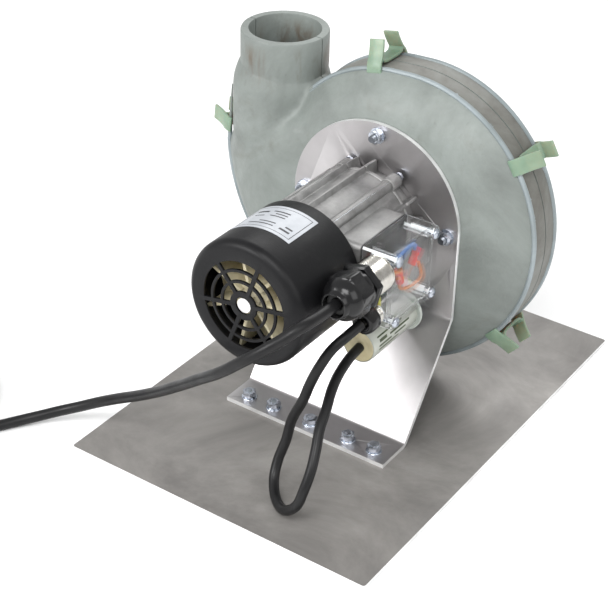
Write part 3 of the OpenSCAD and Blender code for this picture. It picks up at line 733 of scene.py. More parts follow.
def mark_casing(obj):
    """Picks the look of each face: 0 for the dome, 1 for the band round the seam, darker as painted shade, 2
    for the bead, lighter as a painted highlight.
    """
    for face in obj.data.polygons:
        spot = face.center / MM
        radius = math.hypot(spot.x, spot.z - AXIS.z)
        deg = math.degrees(math.atan2(spot.z - AXIS.z, spot.x))
        from_edge = radius - scroll_radius(deg)
        from_bead = min(abs(spot.y - RIM_Y), abs(spot.y - 2 * SEAM_Y + RIM_Y))
        in_duct = spot.x < -56 and spot.z > 132
        if in_duct:
            continue
        if math.hypot(from_edge, from_bead) < 1.75:
            face.material_index = 2
        elif abs(spot.y - SEAM_Y) < SEAM_Y - RIM_Y and from_edge > -1.7:
            face.material_index = 1


def make_casing():
    body = scroll_solid(0, "casing_body")
    duct = upright_solid(
        [(0, 92), (20, 93), (27, 112), (28.2, 128), (28.2, 158), (27.6, 162), (25.4, 169), (23, 173),
         (0, 173)],
        DUCT_AT, "duct")
    combine(body, [duct], "UNION")
    remesh = body.modifiers.new("remesh", "REMESH")
    remesh.mode = "VOXEL"
    remesh.voxel_size = 1.9 * MM
    smooth = body.modifiers.new("smooth", "SMOOTH")
    smooth.factor = 0.5
    smooth.iterations = 9
    apply_modifiers(body)
    pipe = upright_solid(
        [(0, 163), (OUTLET_R - 0.5, 163), (OUTLET_R, 171), (OUTLET_R, 189), (OUTLET_R - 0.5, OUTLET_TOP),
         (0, OUTLET_TOP)], OUTLET_AT, "pipe", 96)
    beads = [bead_solid(RIM_Y, "bead"), bead_solid(2 * SEAM_Y - RIM_Y, "bead")]
    combine(body, [pipe] + beads, "UNION")
    cavity = scroll_solid(WALL, "cavity")
    bore = upright_solid(
        [(0, 100), (24, 101), (26.2, 120), (26.2, 156), (OUTLET_BORE_R, 168), (OUTLET_BORE_R, 189.2),
         (OUTLET_BORE_R + 0.6, 191), (0, 191)], OUTLET_AT, "bore", 96)
    inlet = solid_drum(INLET_R + WALL, along_y(), 60, 80, 96)
    shaft_hole = solid_drum(8, along_y(), 10, 20, 48)
    combine(body, [cavity, bore, inlet, shaft_hole])
    for name, low, high in (("front", -20, SEAM_Y - SEAM_GAP), ("rear", SEAM_Y + SEAM_GAP, 120)):
        half = body.copy()
        half.data = body.data.copy()
        half.name = f"{name}_shell"
        bpy.context.scene.collection.objects.link(half)
        combine(half, [solid_box((-200, low, -50), (200, high, 250))], "INTERSECT", 40)
        mark_casing(half)
        # The band look is a darker copy of the casing look (painted shade) and the bead look a lighter one
        # (painted highlight).
        piece(half, "casing_grey", "casing", "rim", "bead", replaces=[f"casing_{name}"])
    bpy.data.objects.remove(body)


# ---------- spring clips ----------

CLIP_DEGS = (102, 30, -42, -114, -186)
CLIP_WIDTH = 9
CLIP_SHEET = 1.5
CLIP_LEG = (
    (-4.6, -2), (-3, -1.9), (-1.2, -1.4), (0.6, -0.6), (3, 1.2), (6, 2.7), (9, 3.9), (12.2, 4.8),
)


def strip_outline(path, thickness):
    """A 2D outline of that thickness round an open path."""
    left, right = [], []
    for i, spot in enumerate(path):
        ahead = Vector(path[min(i + 1, len(path) - 1)]) - Vector(path[max(i - 1, 0)])
        side = Vector((-ahead.y, ahead.x)).normalized() * thickness / 2
        left.append(tuple(Vector(spot) + side))
        right.append(tuple(Vector(spot) - side))
    return left + right[::-1]


def make_clips():
    bm = bmesh.new()
    for deg in CLIP_DEGS:
        root = scroll_radius(deg if deg > -180 else -180) + 2.2
        place = (
            Matrix.Translation(AXIS) @ Matrix.Rotation(-math.radians(deg), 4, "Y")
            @ Matrix.Translation((root, 0, 0))
        )
        far = 2 * SEAM_Y - RIM_Y
        for leg in (1, -1):
            path = [(a, RIM_Y + b if leg > 0 else far - b) for a, b in CLIP_LEG]
            add_prism(bm, strip_outline(path, CLIP_SHEET), place, -CLIP_WIDTH / 2, CLIP_WIDTH / 2)
        middle = [
            (2.6, RIM_Y + 1.2), (0.6, RIM_Y + 3), (0, RIM_Y + 6),
            (0, far - 6), (0.6, far - 3), (2.6, far - 1.2),
        ]
        add_prism(bm, strip_outline(middle, CLIP_SHEET), place, -CLIP_WIDTH / 2, CLIP_WIDTH / 2)
    clips = object_from(bm, "seam_clips")
    bevel(clips, 0.35)
    return piece(clips, "clip_green", "clip", replaces=["spring_clips"])


# ---------- base plate and bracket ----------

PLATE = (95, 135, 2.5)
BRACKET_HALF = 52.5
FOOT_BOLT_XS = (-42, -25, 0, 25, 42)
FOOT_BOLT_Y = -44
FOOT_TOP = 5
UPRIGHT_Y = 12.56
UPRIGHT_BACK_Y = 15.06
BRACKET_BENDS = [
    (-51.3, 2.5), (-28.1, 2.5), (UPRIGHT_BACK_Y, 63.6), (UPRIGHT_BACK_Y, 115),
    (UPRIGHT_Y, 115), (UPRIGHT_Y, 64.4), (-29.4, FOOT_TOP), (-51.3, FOOT_TOP),
]


def mark_faces(obj, index, test):
    """Gives the second, third or later look to the faces that pass a test of centre in mm and normal."""
    for face in obj.data.polygons:
        if test(face.center / MM, face.normal):
            face.material_index = index


def make_base_plate():
    bm = bmesh.new()
    x, y, top = PLATE
    add_prism(bm, rounded(oblong((-x, -y), (x, y)), 1.6), Matrix(), 0, top)
    plate = object_from(bm, "bottom_plate")
    bevel(plate, 0.35, 2)
    # The plate's side faces get the light edge look: a painted highlight.
    mark_faces(plate, 1, lambda spot, normal: abs(normal.z) < 0.9)
    return piece(plate, "plate_metal", "plate", "edge", replaces=["base_plate"])


def bend_profile():
    """The bracket's side view, with its two bends rounded inside and out."""
    points = [Vector(p) for p in BRACKET_BENDS]
    radii = {1: 5.5, 2: 2.5, 5: 5.5, 6: 2.5}
    out = []
    for i, corner in enumerate(points):
        if i not in radii:
            out.append(tuple(corner))
            continue
        a = (points[i - 1] - corner).normalized()
        b = (points[(i + 1) % len(points)] - corner).normalized()
        reach = radii[i] * math.tan((math.pi - a.angle(b)) / 2)
        start, end = corner + a * reach, corner + b * reach
        for k in range(7):
            t = k / 6
            out.append(tuple(start * (1 - t) ** 2 + corner * 2 * t * (1 - t) + end * t ** 2))
    return out


def make_bracket():
    bm = bmesh.new()
    add_prism(bm, bend_profile(), SIDE, -BRACKET_HALF, BRACKET_HALF)
    bracket = object_from(bm, "angle_bracket")
    disc = solid_drum(BRACKET_HALF, along_y(), UPRIGHT_Y, UPRIGHT_BACK_Y, 128)
    combine(bracket, [disc], "UNION")
    holes = [solid_drum(15, along_y(), 5, 25)]
    holes += [solid_drum(2.2, along_y(around(90 * k, 46)), 5, 25, 24) for k in range(4)]
    holes += [solid_drum(2.2, upright(x, FOOT_BOLT_Y), 0, 9, 24) for x in FOOT_BOLT_XS]
    combine(bracket, holes)
    bevel(bracket, 0.45, 3, 40)

    # Faces that get the light edge look: a painted highlight on the bracket's outer edges and rounded top.
    def gets_painted_highlight(spot, normal):
        outer = math.hypot(spot.x, spot.z - AXIS.z) > BRACKET_HALF - 1 or spot.z < AXIS.z
        round_top = spot.z > AXIS.z and abs(normal.y) < 0.9
        foot_front = normal.y < -0.98 and spot.z < FOOT_TOP + 1
        return outer and (abs(normal.x) > 0.35 or round_top or foot_front)

    mark_faces(bracket, 1, gets_painted_highlight)
    return piece(bracket, "brushed_alu", "brushed", "edge", replaces=["bracket"])


# ---------- nuts, bolts and washers ----------


def add_hex_head(bm, place, low, high, flats, chamfer=0.5, turn_deg=0.0):
    """A hexagonal head or nut whose outer corners are chamfered on the high side."""
    outline = [Vector(p) for p in hexagon(flats, turn_deg)]
    inner = [p * (1 - chamfer / flats * 2) for p in outline]
    levels = [(outline, low), (outline, high - chamfer * 0.6), (inner, high)]
    add_skin(bm, [[bm.verts.new(place @ Vector((p.x, p.y, h))) for p in ring] for ring, h in levels])


def add_washer(bm, place, low, high, outer, inner, steps=32):
    edge = min(0.2, (high - low) / 3)
    profile = [(inner, low), (outer, low), (outer, high - edge), (outer - edge, high), (inner, high)]
    add_lathe(bm, profile, place, steps)


def add_thread(bm, place, low, high, radius, pitch, depth, steps=32):
    """A solid rod with ridges at the pitch of its thread."""
    profile = [(0, low), (radius - depth, low)]
    level = low
    while level + pitch < high:
        root = radius - depth
        profile += [(root, level + 0.1 * pitch), (radius, level + 0.5 * pitch), (root, level + 0.9 * pitch)]
        level += pitch
    profile += [(radius - depth, high - 0.2), (radius - depth - 0.3, high), (0, high)]
    add_lathe(bm, profile, place, steps, closed=False)


def make_foot_bolts():
    bolts, springs, washers = bmesh.new(), bmesh.new(), bmesh.new()
    for i, x in enumerate(FOOT_BOLT_XS):
        place = upright(x, FOOT_BOLT_Y, FOOT_TOP)
        add_washer(washers, place, 0, 0.8, 4.5, 2.2)
        ring = arc((0, 0), 3.6, 8, 338, 22) + arc((0, 0), 2.2, 353, 8, 23)
        add_prism(springs, ring, place @ Matrix.Rotation(math.radians(25 * i), 4, "Z"), 0.85, 1.75)
        add_hex_head(bolts, place, 1.8, 4.6, 7, 0.6, 11 + 17 * i)
        dish = [(0, 4.4), (2.4, 4.4), (2.5, 4.75), (2.0, 4.75), (1.7, 4.55), (0, 4.5)]
        add_lathe(bolts, dish, place, 24, closed=False)
        add_lathe(bolts, [(0, -4.6), (2, -4.6), (2, 1.9), (0, 1.9)], place, 24, closed=False)
    piece(object_from(bolts, "foot_bolt_set"), "zinc", "zinc", replaces=["foot_bolts"])
    piece(object_from(springs, "spring_washer_set"), "zinc", "zinc", replaces=["foot_spring_washers"])
    piece(object_from(washers, "washer_set"), "zinc", "zinc", replaces=["foot_washers"])


def make_casing_nuts():
    studs, nuts, washers = bmesh.new(), bmesh.new(), bmesh.new()
    for k in range(4):
        place = along_y(around(90 * k, 46))
        add_thread(studs, place, 5.6, 17.0, 2, 0.7, 0.25)
        add_lathe(studs, [(0, 17.06), (5, 17.06), (5, 18.1), (0, 18.1)], place, 32, closed=False)
        add_washer(washers, place, UPRIGHT_Y - 1, UPRIGHT_Y, 4.5, 2.2)
        flip = along_y(around(90 * k, 46), UPRIGHT_Y - 1) @ Matrix.Rotation(math.pi, 4, "X")
        add_hex_head(nuts, flip, 0, 3.2, 7, 0.6, 12 + 23 * k)
        add_lathe(nuts, [(2.05, 3.15), (2.9, 3.15), (2.75, 3.35), (2.05, 3.35)], flip, 24)
    piece(object_from(studs, "stud_set"), "dark_steel", "dark_steel", replaces=["casing_studs"])
    piece(object_from(nuts, "nut_set"), "zinc", "zinc", replaces=["stud_nuts"])
    piece(object_from(washers, "stud_washer_set"), "zinc", "zinc", replaces=["stud_washers"])


make_casing()
make_clips()
make_base_plate()
make_bracket()
make_foot_bolts()
make_casing_nuts()

# ---------- motor ----------

HOUSING_R = 29.5
BORE_R = 26.5
RIB_R = 32.9
TIE_DEGS = (60, 120, 240, 300)
RIB_DEGS = (12, 34, 90, 112, 132, 150, 168, 190, 212, 232, 252, 270, 288, 310, 328, 348)
WEB_DEGS = (12, 34, 90, 112, 132, 150, 168, 190, 212, 270, 328)
HOUSING_Y = (-55, 0)
# Opposite corners of the flat block that the terminal box sits on
PAD = ((20, -54.8, 93.45), (33.95, -11.7, 136.55))


def polar_outline(radius, ribs, height, half_width, step=4):
    """A ring's outline in the x, z plane as along_y wants it, with a tapered rib at each angle."""
    spots = []
    for deg in range(0, 360, step):
        if all(abs((deg - rib + 180) % 360 - 180) > 3.4 for rib in ribs):
            spots.append((deg, radius))
    for rib in ribs:
        foot = math.degrees(half_width * 1.7 / radius)
        tip = math.degrees(half_width / height)
        spots += [
            (rib - foot - 0.7, radius), (rib - foot, radius + 0.25), (rib - tip, height - 0.3),
            (rib - tip * 0.6, height), (rib + tip * 0.6, height), (rib + tip, height - 0.3),
            (rib + foot, radius + 0.25), (rib + foot + 0.7, radius),
        ]
    spots.sort(key=lambda spot: spot[0] % 360)
    return [(r * math.cos(math.radians(deg)), -r * math.sin(math.radians(deg))) for deg, r in spots]


def lathe_piece(name, node, slot, look, at, profile, steps=64, *, closed=True, sharp_deg=SHARP_DEG,
                body="blower"):
    """A piece turned from one profile about an axis along Y, which stands for one CAD node."""
    bm = bmesh.new()
    add_lathe(bm, profile, along_y(at), steps, closed)
    return piece(object_from(bm, name, sharp_deg), slot, look, body=body, replaces=[node])


def make_housing():
    bm = bmesh.new()
    add_prism(bm, polar_outline(HOUSING_R, RIB_DEGS, RIB_R, 0.75), along_y(), *HOUSING_Y)
    housing = object_from(bm, "finned_housing")
    bosses = []
    for deg in TIE_DEGS:
        x, z = around(deg, 29.6)
        bosses.append(solid_drum(3.3, along_y((x, z)), HOUSING_Y[0] + 0.2, HOUSING_Y[1] - 0.2, 24))
    combine(housing, bosses, "UNION")
    (x0, y0, z0), (x1, y1, z1) = PAD
    block = bmesh.new()
    add_prism(block, rounded(oblong((y0, z0), (y1, z1)), 3), SIDE, x0, x1)
    block = object_from(block, "pad_block")
    bevel(block, 0.8, 3)
    combine(housing, [block], "UNION")
    holes = [solid_drum(BORE_R, along_y(), HOUSING_Y[0] - 1, HOUSING_Y[1] + 1, 96)]
    holes += [solid_drum(1.7, along_y(around(deg, 31.2)), -60, 5, 16) for deg in TIE_DEGS]
    holes.append(solid_drum(6, along_x(-34, 111), PAD[1][0] - 16, PAD[1][0] + 1, 32))
    combine(housing, holes)
    bevel(housing, 0.25, 2, 40, 50)
    piece(housing, "cast_alu", "cast", replaces=["motor_housing"])


def make_end_shields():
    bm = bmesh.new()
    profile = [
        (5.5, -3), (BORE_R - 0.02, -3), (BORE_R - 0.02, 0.02), (29.8, 0.05), (30, 0.6), (30, 2), (29.2, 3),
        (26.6, 4), (25.4, 6), (25, 9), (25, UPRIGHT_Y), (14.85, UPRIGHT_Y), (14.85, 14.95), (8.1, 14.95),
        (8.1, 12.6), (5.5, 12.6),
    ]
    add_lathe(bm, profile, along_y(), 96)
    for deg in WEB_DEGS:
        place = Matrix.Translation(AXIS) @ Matrix.Rotation(-math.radians(deg), 4, "Y")
        web = [(24, 1), (32.2, 1), (32.6, 2), (32.2, 11.2), (31.6, 12), (24, 12.3)]
        add_prism(bm, web, place, -0.8, 0.8)
    for deg in TIE_DEGS:
        x, z = around(deg, 29.4)
        place = along_y((x, z))
        add_lathe(bm, [(1.8, -0.1), (4.3, -0.1), (4.3, 7.6), (3.9, 8.6), (3.2, 9), (1.8, 9)], place, 32)
    shield = object_from(bm, "drive_shield")
    bevel(shield, 0.25, 2, 40, 50)
    piece(shield, "cast_alu", "cast", replaces=["drive_end_shield"])
    low = HOUSING_Y[0]
    profile = [
        (5.5, low - 9), (13.6, low - 9), (14.2, low - 8.5), (15, low - 3.2), (32.9, low - 3),
        (33.3, low - 2.6), (33.3, low - 0.02), (BORE_R - 0.1, low - 0.02), (BORE_R - 0.1, low + 3),
        (5.5, low + 3),
    ]
    lathe_piece("rear_shield", "rear_end_shield", "cast_alu", "cast", (0, AXIS.z), profile, 96)


# ---------- fan cowl, its label and the fan ----------

COWL_R = 35
COWL_FACE = -107
COWL_EDGE = 5
SPOKE_DEGS = (10, 70, 130, 190, 250, 310)
GRILLE = ((8, 12.5), (14, 18.5), (20, 24.5))
SPOKE_HALF = 1.1
COWL_SCREW_DEGS = (160, 230, 300)


def slot_outline(inner, outer, from_deg, to_deg):
    lower = math.degrees(SPOKE_HALF / inner)
    upper = math.degrees(SPOKE_HALF / outer)
    points = arc((0, 0), outer, from_deg + upper, to_deg - upper, 14)
    points += arc((0, 0), inner, to_deg - lower, from_deg + lower, 14)
    return [(x, -z) for x, z in points]


def cowl_screw_place(deg):
    """A frame at the cowl's rear rim whose local Z points outwards at that angle."""
    turn = Matrix.Rotation(math.radians(90 - deg), 4, "Y")
    return Matrix.Translation(AXIS + Vector((0, -56.5, 0))) @ turn


def make_cowl():
    bm = bmesh.new()
    skin = 1.2
    mid = (COWL_R - COWL_EDGE, COWL_FACE + COWL_EDGE)
    outer = [(4.7, COWL_FACE)] + arc(mid, COWL_EDGE, -90, 0, 8)
    outer += [(COWL_R, -56), (COWL_R - 0.3, -55.1), (COWL_R - skin, -55.1)]
    inner = arc(mid, COWL_EDGE - skin, 0, -90, 8) + [(4.7, COWL_FACE + skin)]
    add_lathe(bm, outer + inner, along_y(), 128)
    cowl = object_from(bm, "vented_cowl")
    cutters = bmesh.new()
    for low, high in GRILLE:
        for deg in SPOKE_DEGS:
            slot = slot_outline(low, high, deg, deg + 60)
            add_prism(cutters, slot, along_y(), COWL_FACE - 1, COWL_FACE + 3)
    holes = [solid_drum(1.05, cowl_screw_place(deg), 30, 38, 24) for deg in COWL_SCREW_DEGS]
    combine(cowl, [object_from(cutters, "slots")] + holes)
    bevel(cowl, 0.3, 2, 40, 45)
    piece(cowl, "black_plastic", "cowl", replaces=["fan_cowl"])


def add_patch(bm, radii, degs, ys, index=0, steps=12, at=(0, 115)):
    """A curved slab round an axis along Y: between two radii, two angles and two places along it."""
    columns = []
    for k in range(steps + 1):
        deg = math.radians(degs[0] + (degs[1] - degs[0]) * k / steps)
        columns.append([
            bm.verts.new((at[0] + r * math.cos(deg), y, at[1] + r * math.sin(deg)))
            for r, y in ((radii[0], ys[0]), (radii[0], ys[1]), (radii[1], ys[1]), (radii[1], ys[0]))
        ])
    faces = [bm.faces.new(columns[0]), bm.faces.new(columns[-1][::-1])]
    for a, b in zip(columns, columns[1:]):
        for k in range(4):
            faces.append(bm.faces.new((a[k], b[k], b[(k + 1) % 4], a[(k + 1) % 4])))
    for face in faces:
        face.material_index = index


LABEL_DEGS = (66.2, 126.8)
LABEL_Y = (-89, -63.6)


def make_label():
    """A plain film with a frame, bars and boxes in place of its print."""
    bm = bmesh.new()
    add_patch(bm, (COWL_R + 0.03, COWL_R + 0.2), LABEL_DEGS, LABEL_Y, 0, 24)
    ink = (COWL_R + 0.15, COWL_R + 0.23)
    left, right = LABEL_DEGS[1] - 3, LABEL_DEGS[0] + 3
    low, high = LABEL_Y[0] + 2, LABEL_Y[1] - 2
    for degs, ys in (
        ((right, left), (high - 0.35, high)), ((right, left), (low, low + 0.35)),
        ((right, right + 0.6), (low, high)), ((left - 0.6, left), (low, high)),
        ((right + 4, right + 14), (low + 3, low + 4.4)), ((right + 4, right + 11), (low + 6, low + 7.2)),
        ((right + 18, right + 34), (high - 4.6, high - 3.6)),
        ((right + 18, right + 30), (high - 7, high - 6.2)),
        ((right + 18, right + 33), (high - 9.4, high - 8.6)),
        ((right + 38, right + 50), (high - 6, high - 4.4)),
        ((right + 38, right + 48), (high - 10, high - 9.2)), ((right + 20, right + 44), (low + 3, low + 3.8)),
        ((right + 20, right + 36), (low + 5.6, low + 6.4)),
    ):
        add_patch(bm, ink, degs, ys, 1)
    piece(object_from(bm, "plain_label"), "label_film", "label", "ink", replaces=["rating_label"])


def make_cowl_screws():
    bm = bmesh.new()
    for deg in COWL_SCREW_DEGS:
        profile = [
            (0, 33.5), (1, 33.5), (1, 35), (2.2, 35.02), (2.1, 35.6), (1.5, 36.1), (0.8, 36.2), (0.7, 35.8),
            (0, 35.8),
        ]
        add_lathe(bm, profile, cowl_screw_place(deg), 24, closed=False)
    piece(object_from(bm, "cowl_screw_set"), "zinc", "zinc", replaces=["cowl_screws"])


def make_fan():
    bm = bmesh.new()
    profile = [
        (4.02, -98), (8.4, -98), (9, -97.4), (9.3, -88), (10.5, -86.2), (29.4, -86), (30, -85.4),
        (29.6, -84.1), (4.02, -84),
    ]
    add_lathe(bm, profile, along_y(), 64)
    for k in range(7):
        place = along_y() @ Matrix.Rotation(2 * math.pi * k / 7, 4, "Z")
        blade = [(7, -0.9), (16, -1.0), (30.6, -0.8), (30.9, 0), (30.6, 0.8), (16, 1.0), (7, 0.9)]
        add_prism(bm, blade, place, -100.6, -85)
    fan = object_from(bm, "fan_wheel")
    bevel(fan, 0.3, 2, 40)
    piece(fan, "fan_cream", "fan", body="rotor", replaces=["cooling_fan"])


make_housing()
make_end_shields()
make_cowl()
make_label()
make_cowl_screws()
make_fan()

# ---------- terminal box ----------

BOX_Y = (-54.9, -11.6)
BOX_Z = (93.35, 136.65)
BOX_X = (35, 51, 53.7)
SCREW_SPOTS = [(y, z) for y in (-51, -15.5) for z in (97.25, 132.75)]
LARGE_GLAND = (45.3, 126)
SMALL_GLAND = (44.3, 100.8)
GLAND_Y = -68.9
SMALL_FRONT_Y = -66.9


def box_outline(inset, radius):
    low = (BOX_Y[0] + inset, BOX_Z[0] + inset)
    high = (BOX_Y[1] - inset, BOX_Z[1] - inset)
    return rounded(oblong(low, high), radius)


def mark_painted_reflection_edges(obj):
    """Marks the narrow bevelled faces of a clear piece, which get a whiter, more opaque look as a painted
    reflection.
    """
    mark_faces(obj, 1, lambda spot, normal: max(abs(c) for c in normal) < 0.97)


def make_box():
    bm = bmesh.new()
    add_prism(bm, box_outline(0.05, 2), SIDE, BOX_X[0] + 0.02, BOX_X[1] - 0.02)
    box = object_from(bm, "clear_box")
    room = bmesh.new()
    add_prism(room, box_outline(2, 1.2), SIDE, BOX_X[0] + 2, BOX_X[1] + 5)
    combine(box, [object_from(room, "room")])
    posts = [solid_drum(3.1, along_x(y, z), BOX_X[0] + 1, BOX_X[1] - 0.02, 32) for y, z in SCREW_SPOTS]
    combine(box, posts, "UNION")
    holes = [solid_drum(1.6, along_x(y, z), BOX_X[0] + 5, BOX_X[1] + 5, 24) for y, z in SCREW_SPOTS]
    holes.append(solid_drum(5.7, along_y(LARGE_GLAND), BOX_Y[0] - 1, BOX_Y[0] + 2.5, 32))
    holes.append(solid_drum(4.55, along_y(SMALL_GLAND), BOX_Y[0] - 1, BOX_Y[0] + 2.5, 32))
    holes.append(solid_drum(6, along_x(-34, 111), BOX_X[0] - 1, BOX_X[0] + 3, 32))
    combine(box, holes)
    bevel(box, 0.55, 2, 40)
    mark_painted_reflection_edges(box)
    piece(box, "clear_plastic", "clear", "clear_edge_painted_reflection", replaces=["terminal_box"])
    bm = bmesh.new()
    add_prism(bm, box_outline(0.02, 2.4), SIDE, BOX_X[1] + 0.02, BOX_X[2])
    cover = object_from(bm, "clear_lid")
    ears = [solid_drum(3.8, along_x(y, z), BOX_X[2] - 1, BOX_X[2] + 0.6, 40) for y, z in SCREW_SPOTS]
    combine(cover, ears, "UNION")
    combine(cover, [solid_drum(1.6, along_x(y, z), BOX_X[1] - 1, BOX_X[2] + 2, 24) for y, z in SCREW_SPOTS])
    bevel(cover, 0.75, 3, 40)
    mark_painted_reflection_edges(cover)
    piece(cover, "clear_plastic", "clear", "clear_edge_painted_reflection", replaces=["box_cover"])
    bm = bmesh.new()
    add_prism(bm, box_outline(0.3, 2), SIDE, BOX_X[0] - 1, BOX_X[0])
    gasket = object_from(bm, "flat_gasket")
    combine(gasket, [solid_drum(6, along_x(-34, 111), BOX_X[0] - 3, BOX_X[0] + 3, 32)])
    bevel(gasket, 0.2, 2, 40)
    piece(gasket, "seal_rubber", "rubber", replaces=["box_gasket"])


def make_cover_screws():
    bm = bmesh.new()
    cross = bmesh.new()
    for i, (y, z) in enumerate(SCREW_SPOTS):
        place = along_x(y, z, BOX_X[2] + 0.6) @ Matrix.Rotation(math.radians(20 + 33 * i), 4, "Z")
        profile = [
            (0, -10), (1.5, -10), (1.5, 0.02), (2.9, 0.02), (2.85, 0.7), (2.3, 1.35), (1.3, 1.68), (0, 1.75),
        ]
        add_lathe(bm, profile, place, 32, closed=False)
        arm, half = 1.5, 0.3
        plus = [
            (half, half), (half, arm), (-half, arm), (-half, half), (-arm, half), (-arm, -half),
            (-half, -half), (-half, -arm), (half, -arm), (half, -half), (arm, -half), (arm, half),
        ]
        add_prism(cross, plus, place, 0.9, 2.5)
    screws = object_from(bm, "cover_screw_set")
    combine(screws, [object_from(cross, "crosses")])
    piece(screws, "zinc", "zinc", replaces=["cover_screws"])


def add_tube(bm, points, radius, steps=12, substeps=6):
    """A closed round tube along a smooth line through the points."""
    line = catmull(points, substeps)
    rings = []
    side = Vector((0.3, 0.2, 0.9))
    for i, spot in enumerate(line):
        ahead = (line[min(i + 1, len(line) - 1)] - line[max(i - 1, 0)]).normalized()
        side = (side - ahead * side.dot(ahead)).normalized()
        other = ahead.cross(side)
        rings.append([bm.verts.new(spot + side * a + other * b) for a, b in circle(radius, steps)])
    add_skin(bm, rings)


# Centre and tilt of each crimp sleeve
SLEEVES = (((40.5, -42, 121), 50), ((44, -32, 112), 15), ((46.5, -22, 120), -35))
INNER_WIRES = (
    ("wires_blue", "blue", (
        ((45.3, -52, 128), (47.5, -44, 127), (42.6, -40, 123.6), (40.7, -43.2, 122)),
        ((46.7, -22.5, 124.2), (48, -25.5, 129), (48.4, -32, 130.5), (46.6, -38.5, 127), (45, -44, 127.5)),
    )),
    ("wires_orange", "orange", (
        ((45.3, -51.5, 124), (49, -42, 121), (46.6, -35.5, 118.5), (44.3, -33.2, 116.5)),
        ((43.8, -31, 107.5), (43, -28, 102), (45, -22, 101), (48.2, -17, 106), (47.6, -19.5, 115.5)),
    )),
    ("wires_yellow", "yellow", (
        ((40, -45.5, 118), (41, -48.5, 112), (43.6, -50, 105), (44.3, -51.5, 101.5)),
        ((39.5, -20, 103), (38.6, -26, 108), (38.6, -33, 111.2)),
    )),
)


def make_wiring():
    bm = bmesh.new()
    for (x, y, z), tilt in SLEEVES:
        place = Matrix.Translation((x, y, z)) @ Matrix.Rotation(math.radians(tilt), 4, "X")
        half = [(1.75, 0.6), (2.1, 1.2), (2.1, 4.6), (1.7, 5), (0, 5)]
        profile = [(radius, -height) for radius, height in reversed(half)] + half
        add_lathe(bm, profile, place, 24, closed=False)
    piece(object_from(bm, "red_sleeves"), "sleeve_red", "red", replaces=["crimp_sleeves"])
    for name, look, runs in INNER_WIRES:
        bm = bmesh.new()
        for run in runs:
            add_tube(bm, run, 0.95)
        piece(object_from(bm, name), "wire_blue", look, replaces=["inner_wires"])


def add_rounded_hex(bm, at, low, high, flats, turn_deg, chamfer):
    """A solid hexagon along Y with rounded corners and chamfered ends."""
    outline = hexagon(flats, turn_deg)
    outer = [Vector(p) for p in rounded(outline, 1.2, 3)]
    narrow = 1 - chamfer / flats * 1.4
    step = chamfer * 0.6
    levels = [(narrow, low), (1, low + step), (1, high - step), (narrow, high)]
    place = along_y(at)
    add_skin(bm, [[bm.verts.new(place @ Vector((p.x * s, -p.y * s, h))) for p in outer] for s, h in levels])


def make_glands():
    low = BOX_Y[0]
    profile = [(5.2, low + 2), (5.55, low + 2), (5.55, low - 0.1), (9.6, low - 0.02), (9.6, low - 0.5)]
    profile += [(9.95 if k % 2 else 8.9, low - 0.9 - 0.95 * k) for k in range(14)]
    profile += [(9.2, GLAND_Y + 0.02), (5.2, GLAND_Y + 0.02)]
    lathe_piece("large_thread", "large_nipple", "nickel", "nickel", LARGE_GLAND, profile, sharp_deg=15)
    bm = bmesh.new()
    add_rounded_hex(bm, LARGE_GLAND, GLAND_Y - 4.5, GLAND_Y - 0.02, 22, 16, 1.4)
    spigot = [(6.3, GLAND_Y - 16.5), (8.35, GLAND_Y - 16.5), (8.35, GLAND_Y - 4.4), (6.3, GLAND_Y - 4.4)]
    add_lathe(bm, spigot, along_y(LARGE_GLAND), 48)
    body = object_from(bm, "hex_body")
    combine(body, [solid_drum(6.3, along_y(LARGE_GLAND), GLAND_Y - 20, GLAND_Y + 2, 48)])
    bevel(body, 0.3, 2, 40)
    piece(body, "black_plastic", "gland", replaces=["gland_body"])
    bm = bmesh.new()
    add_rounded_hex(bm, LARGE_GLAND, GLAND_Y - 17.5, GLAND_Y - 7.4, 22, 18, 1.8)
    nut = object_from(bm, "dome_nut")
    bm = bmesh.new()
    front = GLAND_Y - 26.5
    profile = [(0, front), (7, front), (7.3, front + 0.3)] + arc((3.1, GLAND_Y - 17), 8.4, -56, 0, 8)
    profile += [(11.2, GLAND_Y - 15.5), (11.2, GLAND_Y - 12), (0, GLAND_Y - 12)]
    add_lathe(bm, profile, along_y(LARGE_GLAND), 64, closed=False)
    dome = object_from(bm, "dome")
    collar = solid_drum(10.8, along_y(LARGE_GLAND), GLAND_Y - 8, GLAND_Y - 5.6, 64)
    combine(nut, [dome, collar], "UNION")
    combine(nut, [solid_drum(8.42, along_y(LARGE_GLAND), GLAND_Y - 16.8, GLAND_Y, 48),
                  solid_drum(6.25, along_y(LARGE_GLAND), GLAND_Y - 30, GLAND_Y - 16, 48)])
    bevel(nut, 0.35, 3, 35)
    piece(nut, "black_plastic", "gland", replaces=["gland_nut"])
    tip = GLAND_Y - 23.3
    profile = [
        (3.05, tip + 0.4), (3.6, tip), (5.6, tip), (6.15, tip + 0.7), (6.15, GLAND_Y - 3),
        (3.05, GLAND_Y - 3),
    ]
    lathe_piece("soft_seal", "gland_seal", "seal_rubber", "rubber", LARGE_GLAND, profile, 48)
    profile = [(2.95, low + 2), (4.4, low + 2), (4.4, low - 0.1), (5.5, low - 0.02)]
    profile += [(5.75 if k % 2 else 5.35, low - 0.3 - 0.5 * k) for k in range(6)]
    profile += [(5.4, low - 3.55), (2.95, low - 3.55)]
    lathe_piece("small_thread", "small_nipple", "nickel", "nickel", SMALL_GLAND, profile, 48, sharp_deg=15)
    back, front = low - 3.62, SMALL_FRONT_Y
    profile = [
        (2.8, back), (6.2, back), (6.75, back - 0.8), (6.75, front + 2), (6.3, front + 0.7),
        (5.4, front + 0.05), (4, front), (2.8, front + 0.6),
    ]
    lathe_piece("small_dome_nut", "small_gland_nut", "black_plastic", "gland", SMALL_GLAND, profile, 48)


# ---------- capacitor ----------

CAP_AT = (27.5, 67)
CAP_R = 10
CAP_Y = (-41.5, 2)


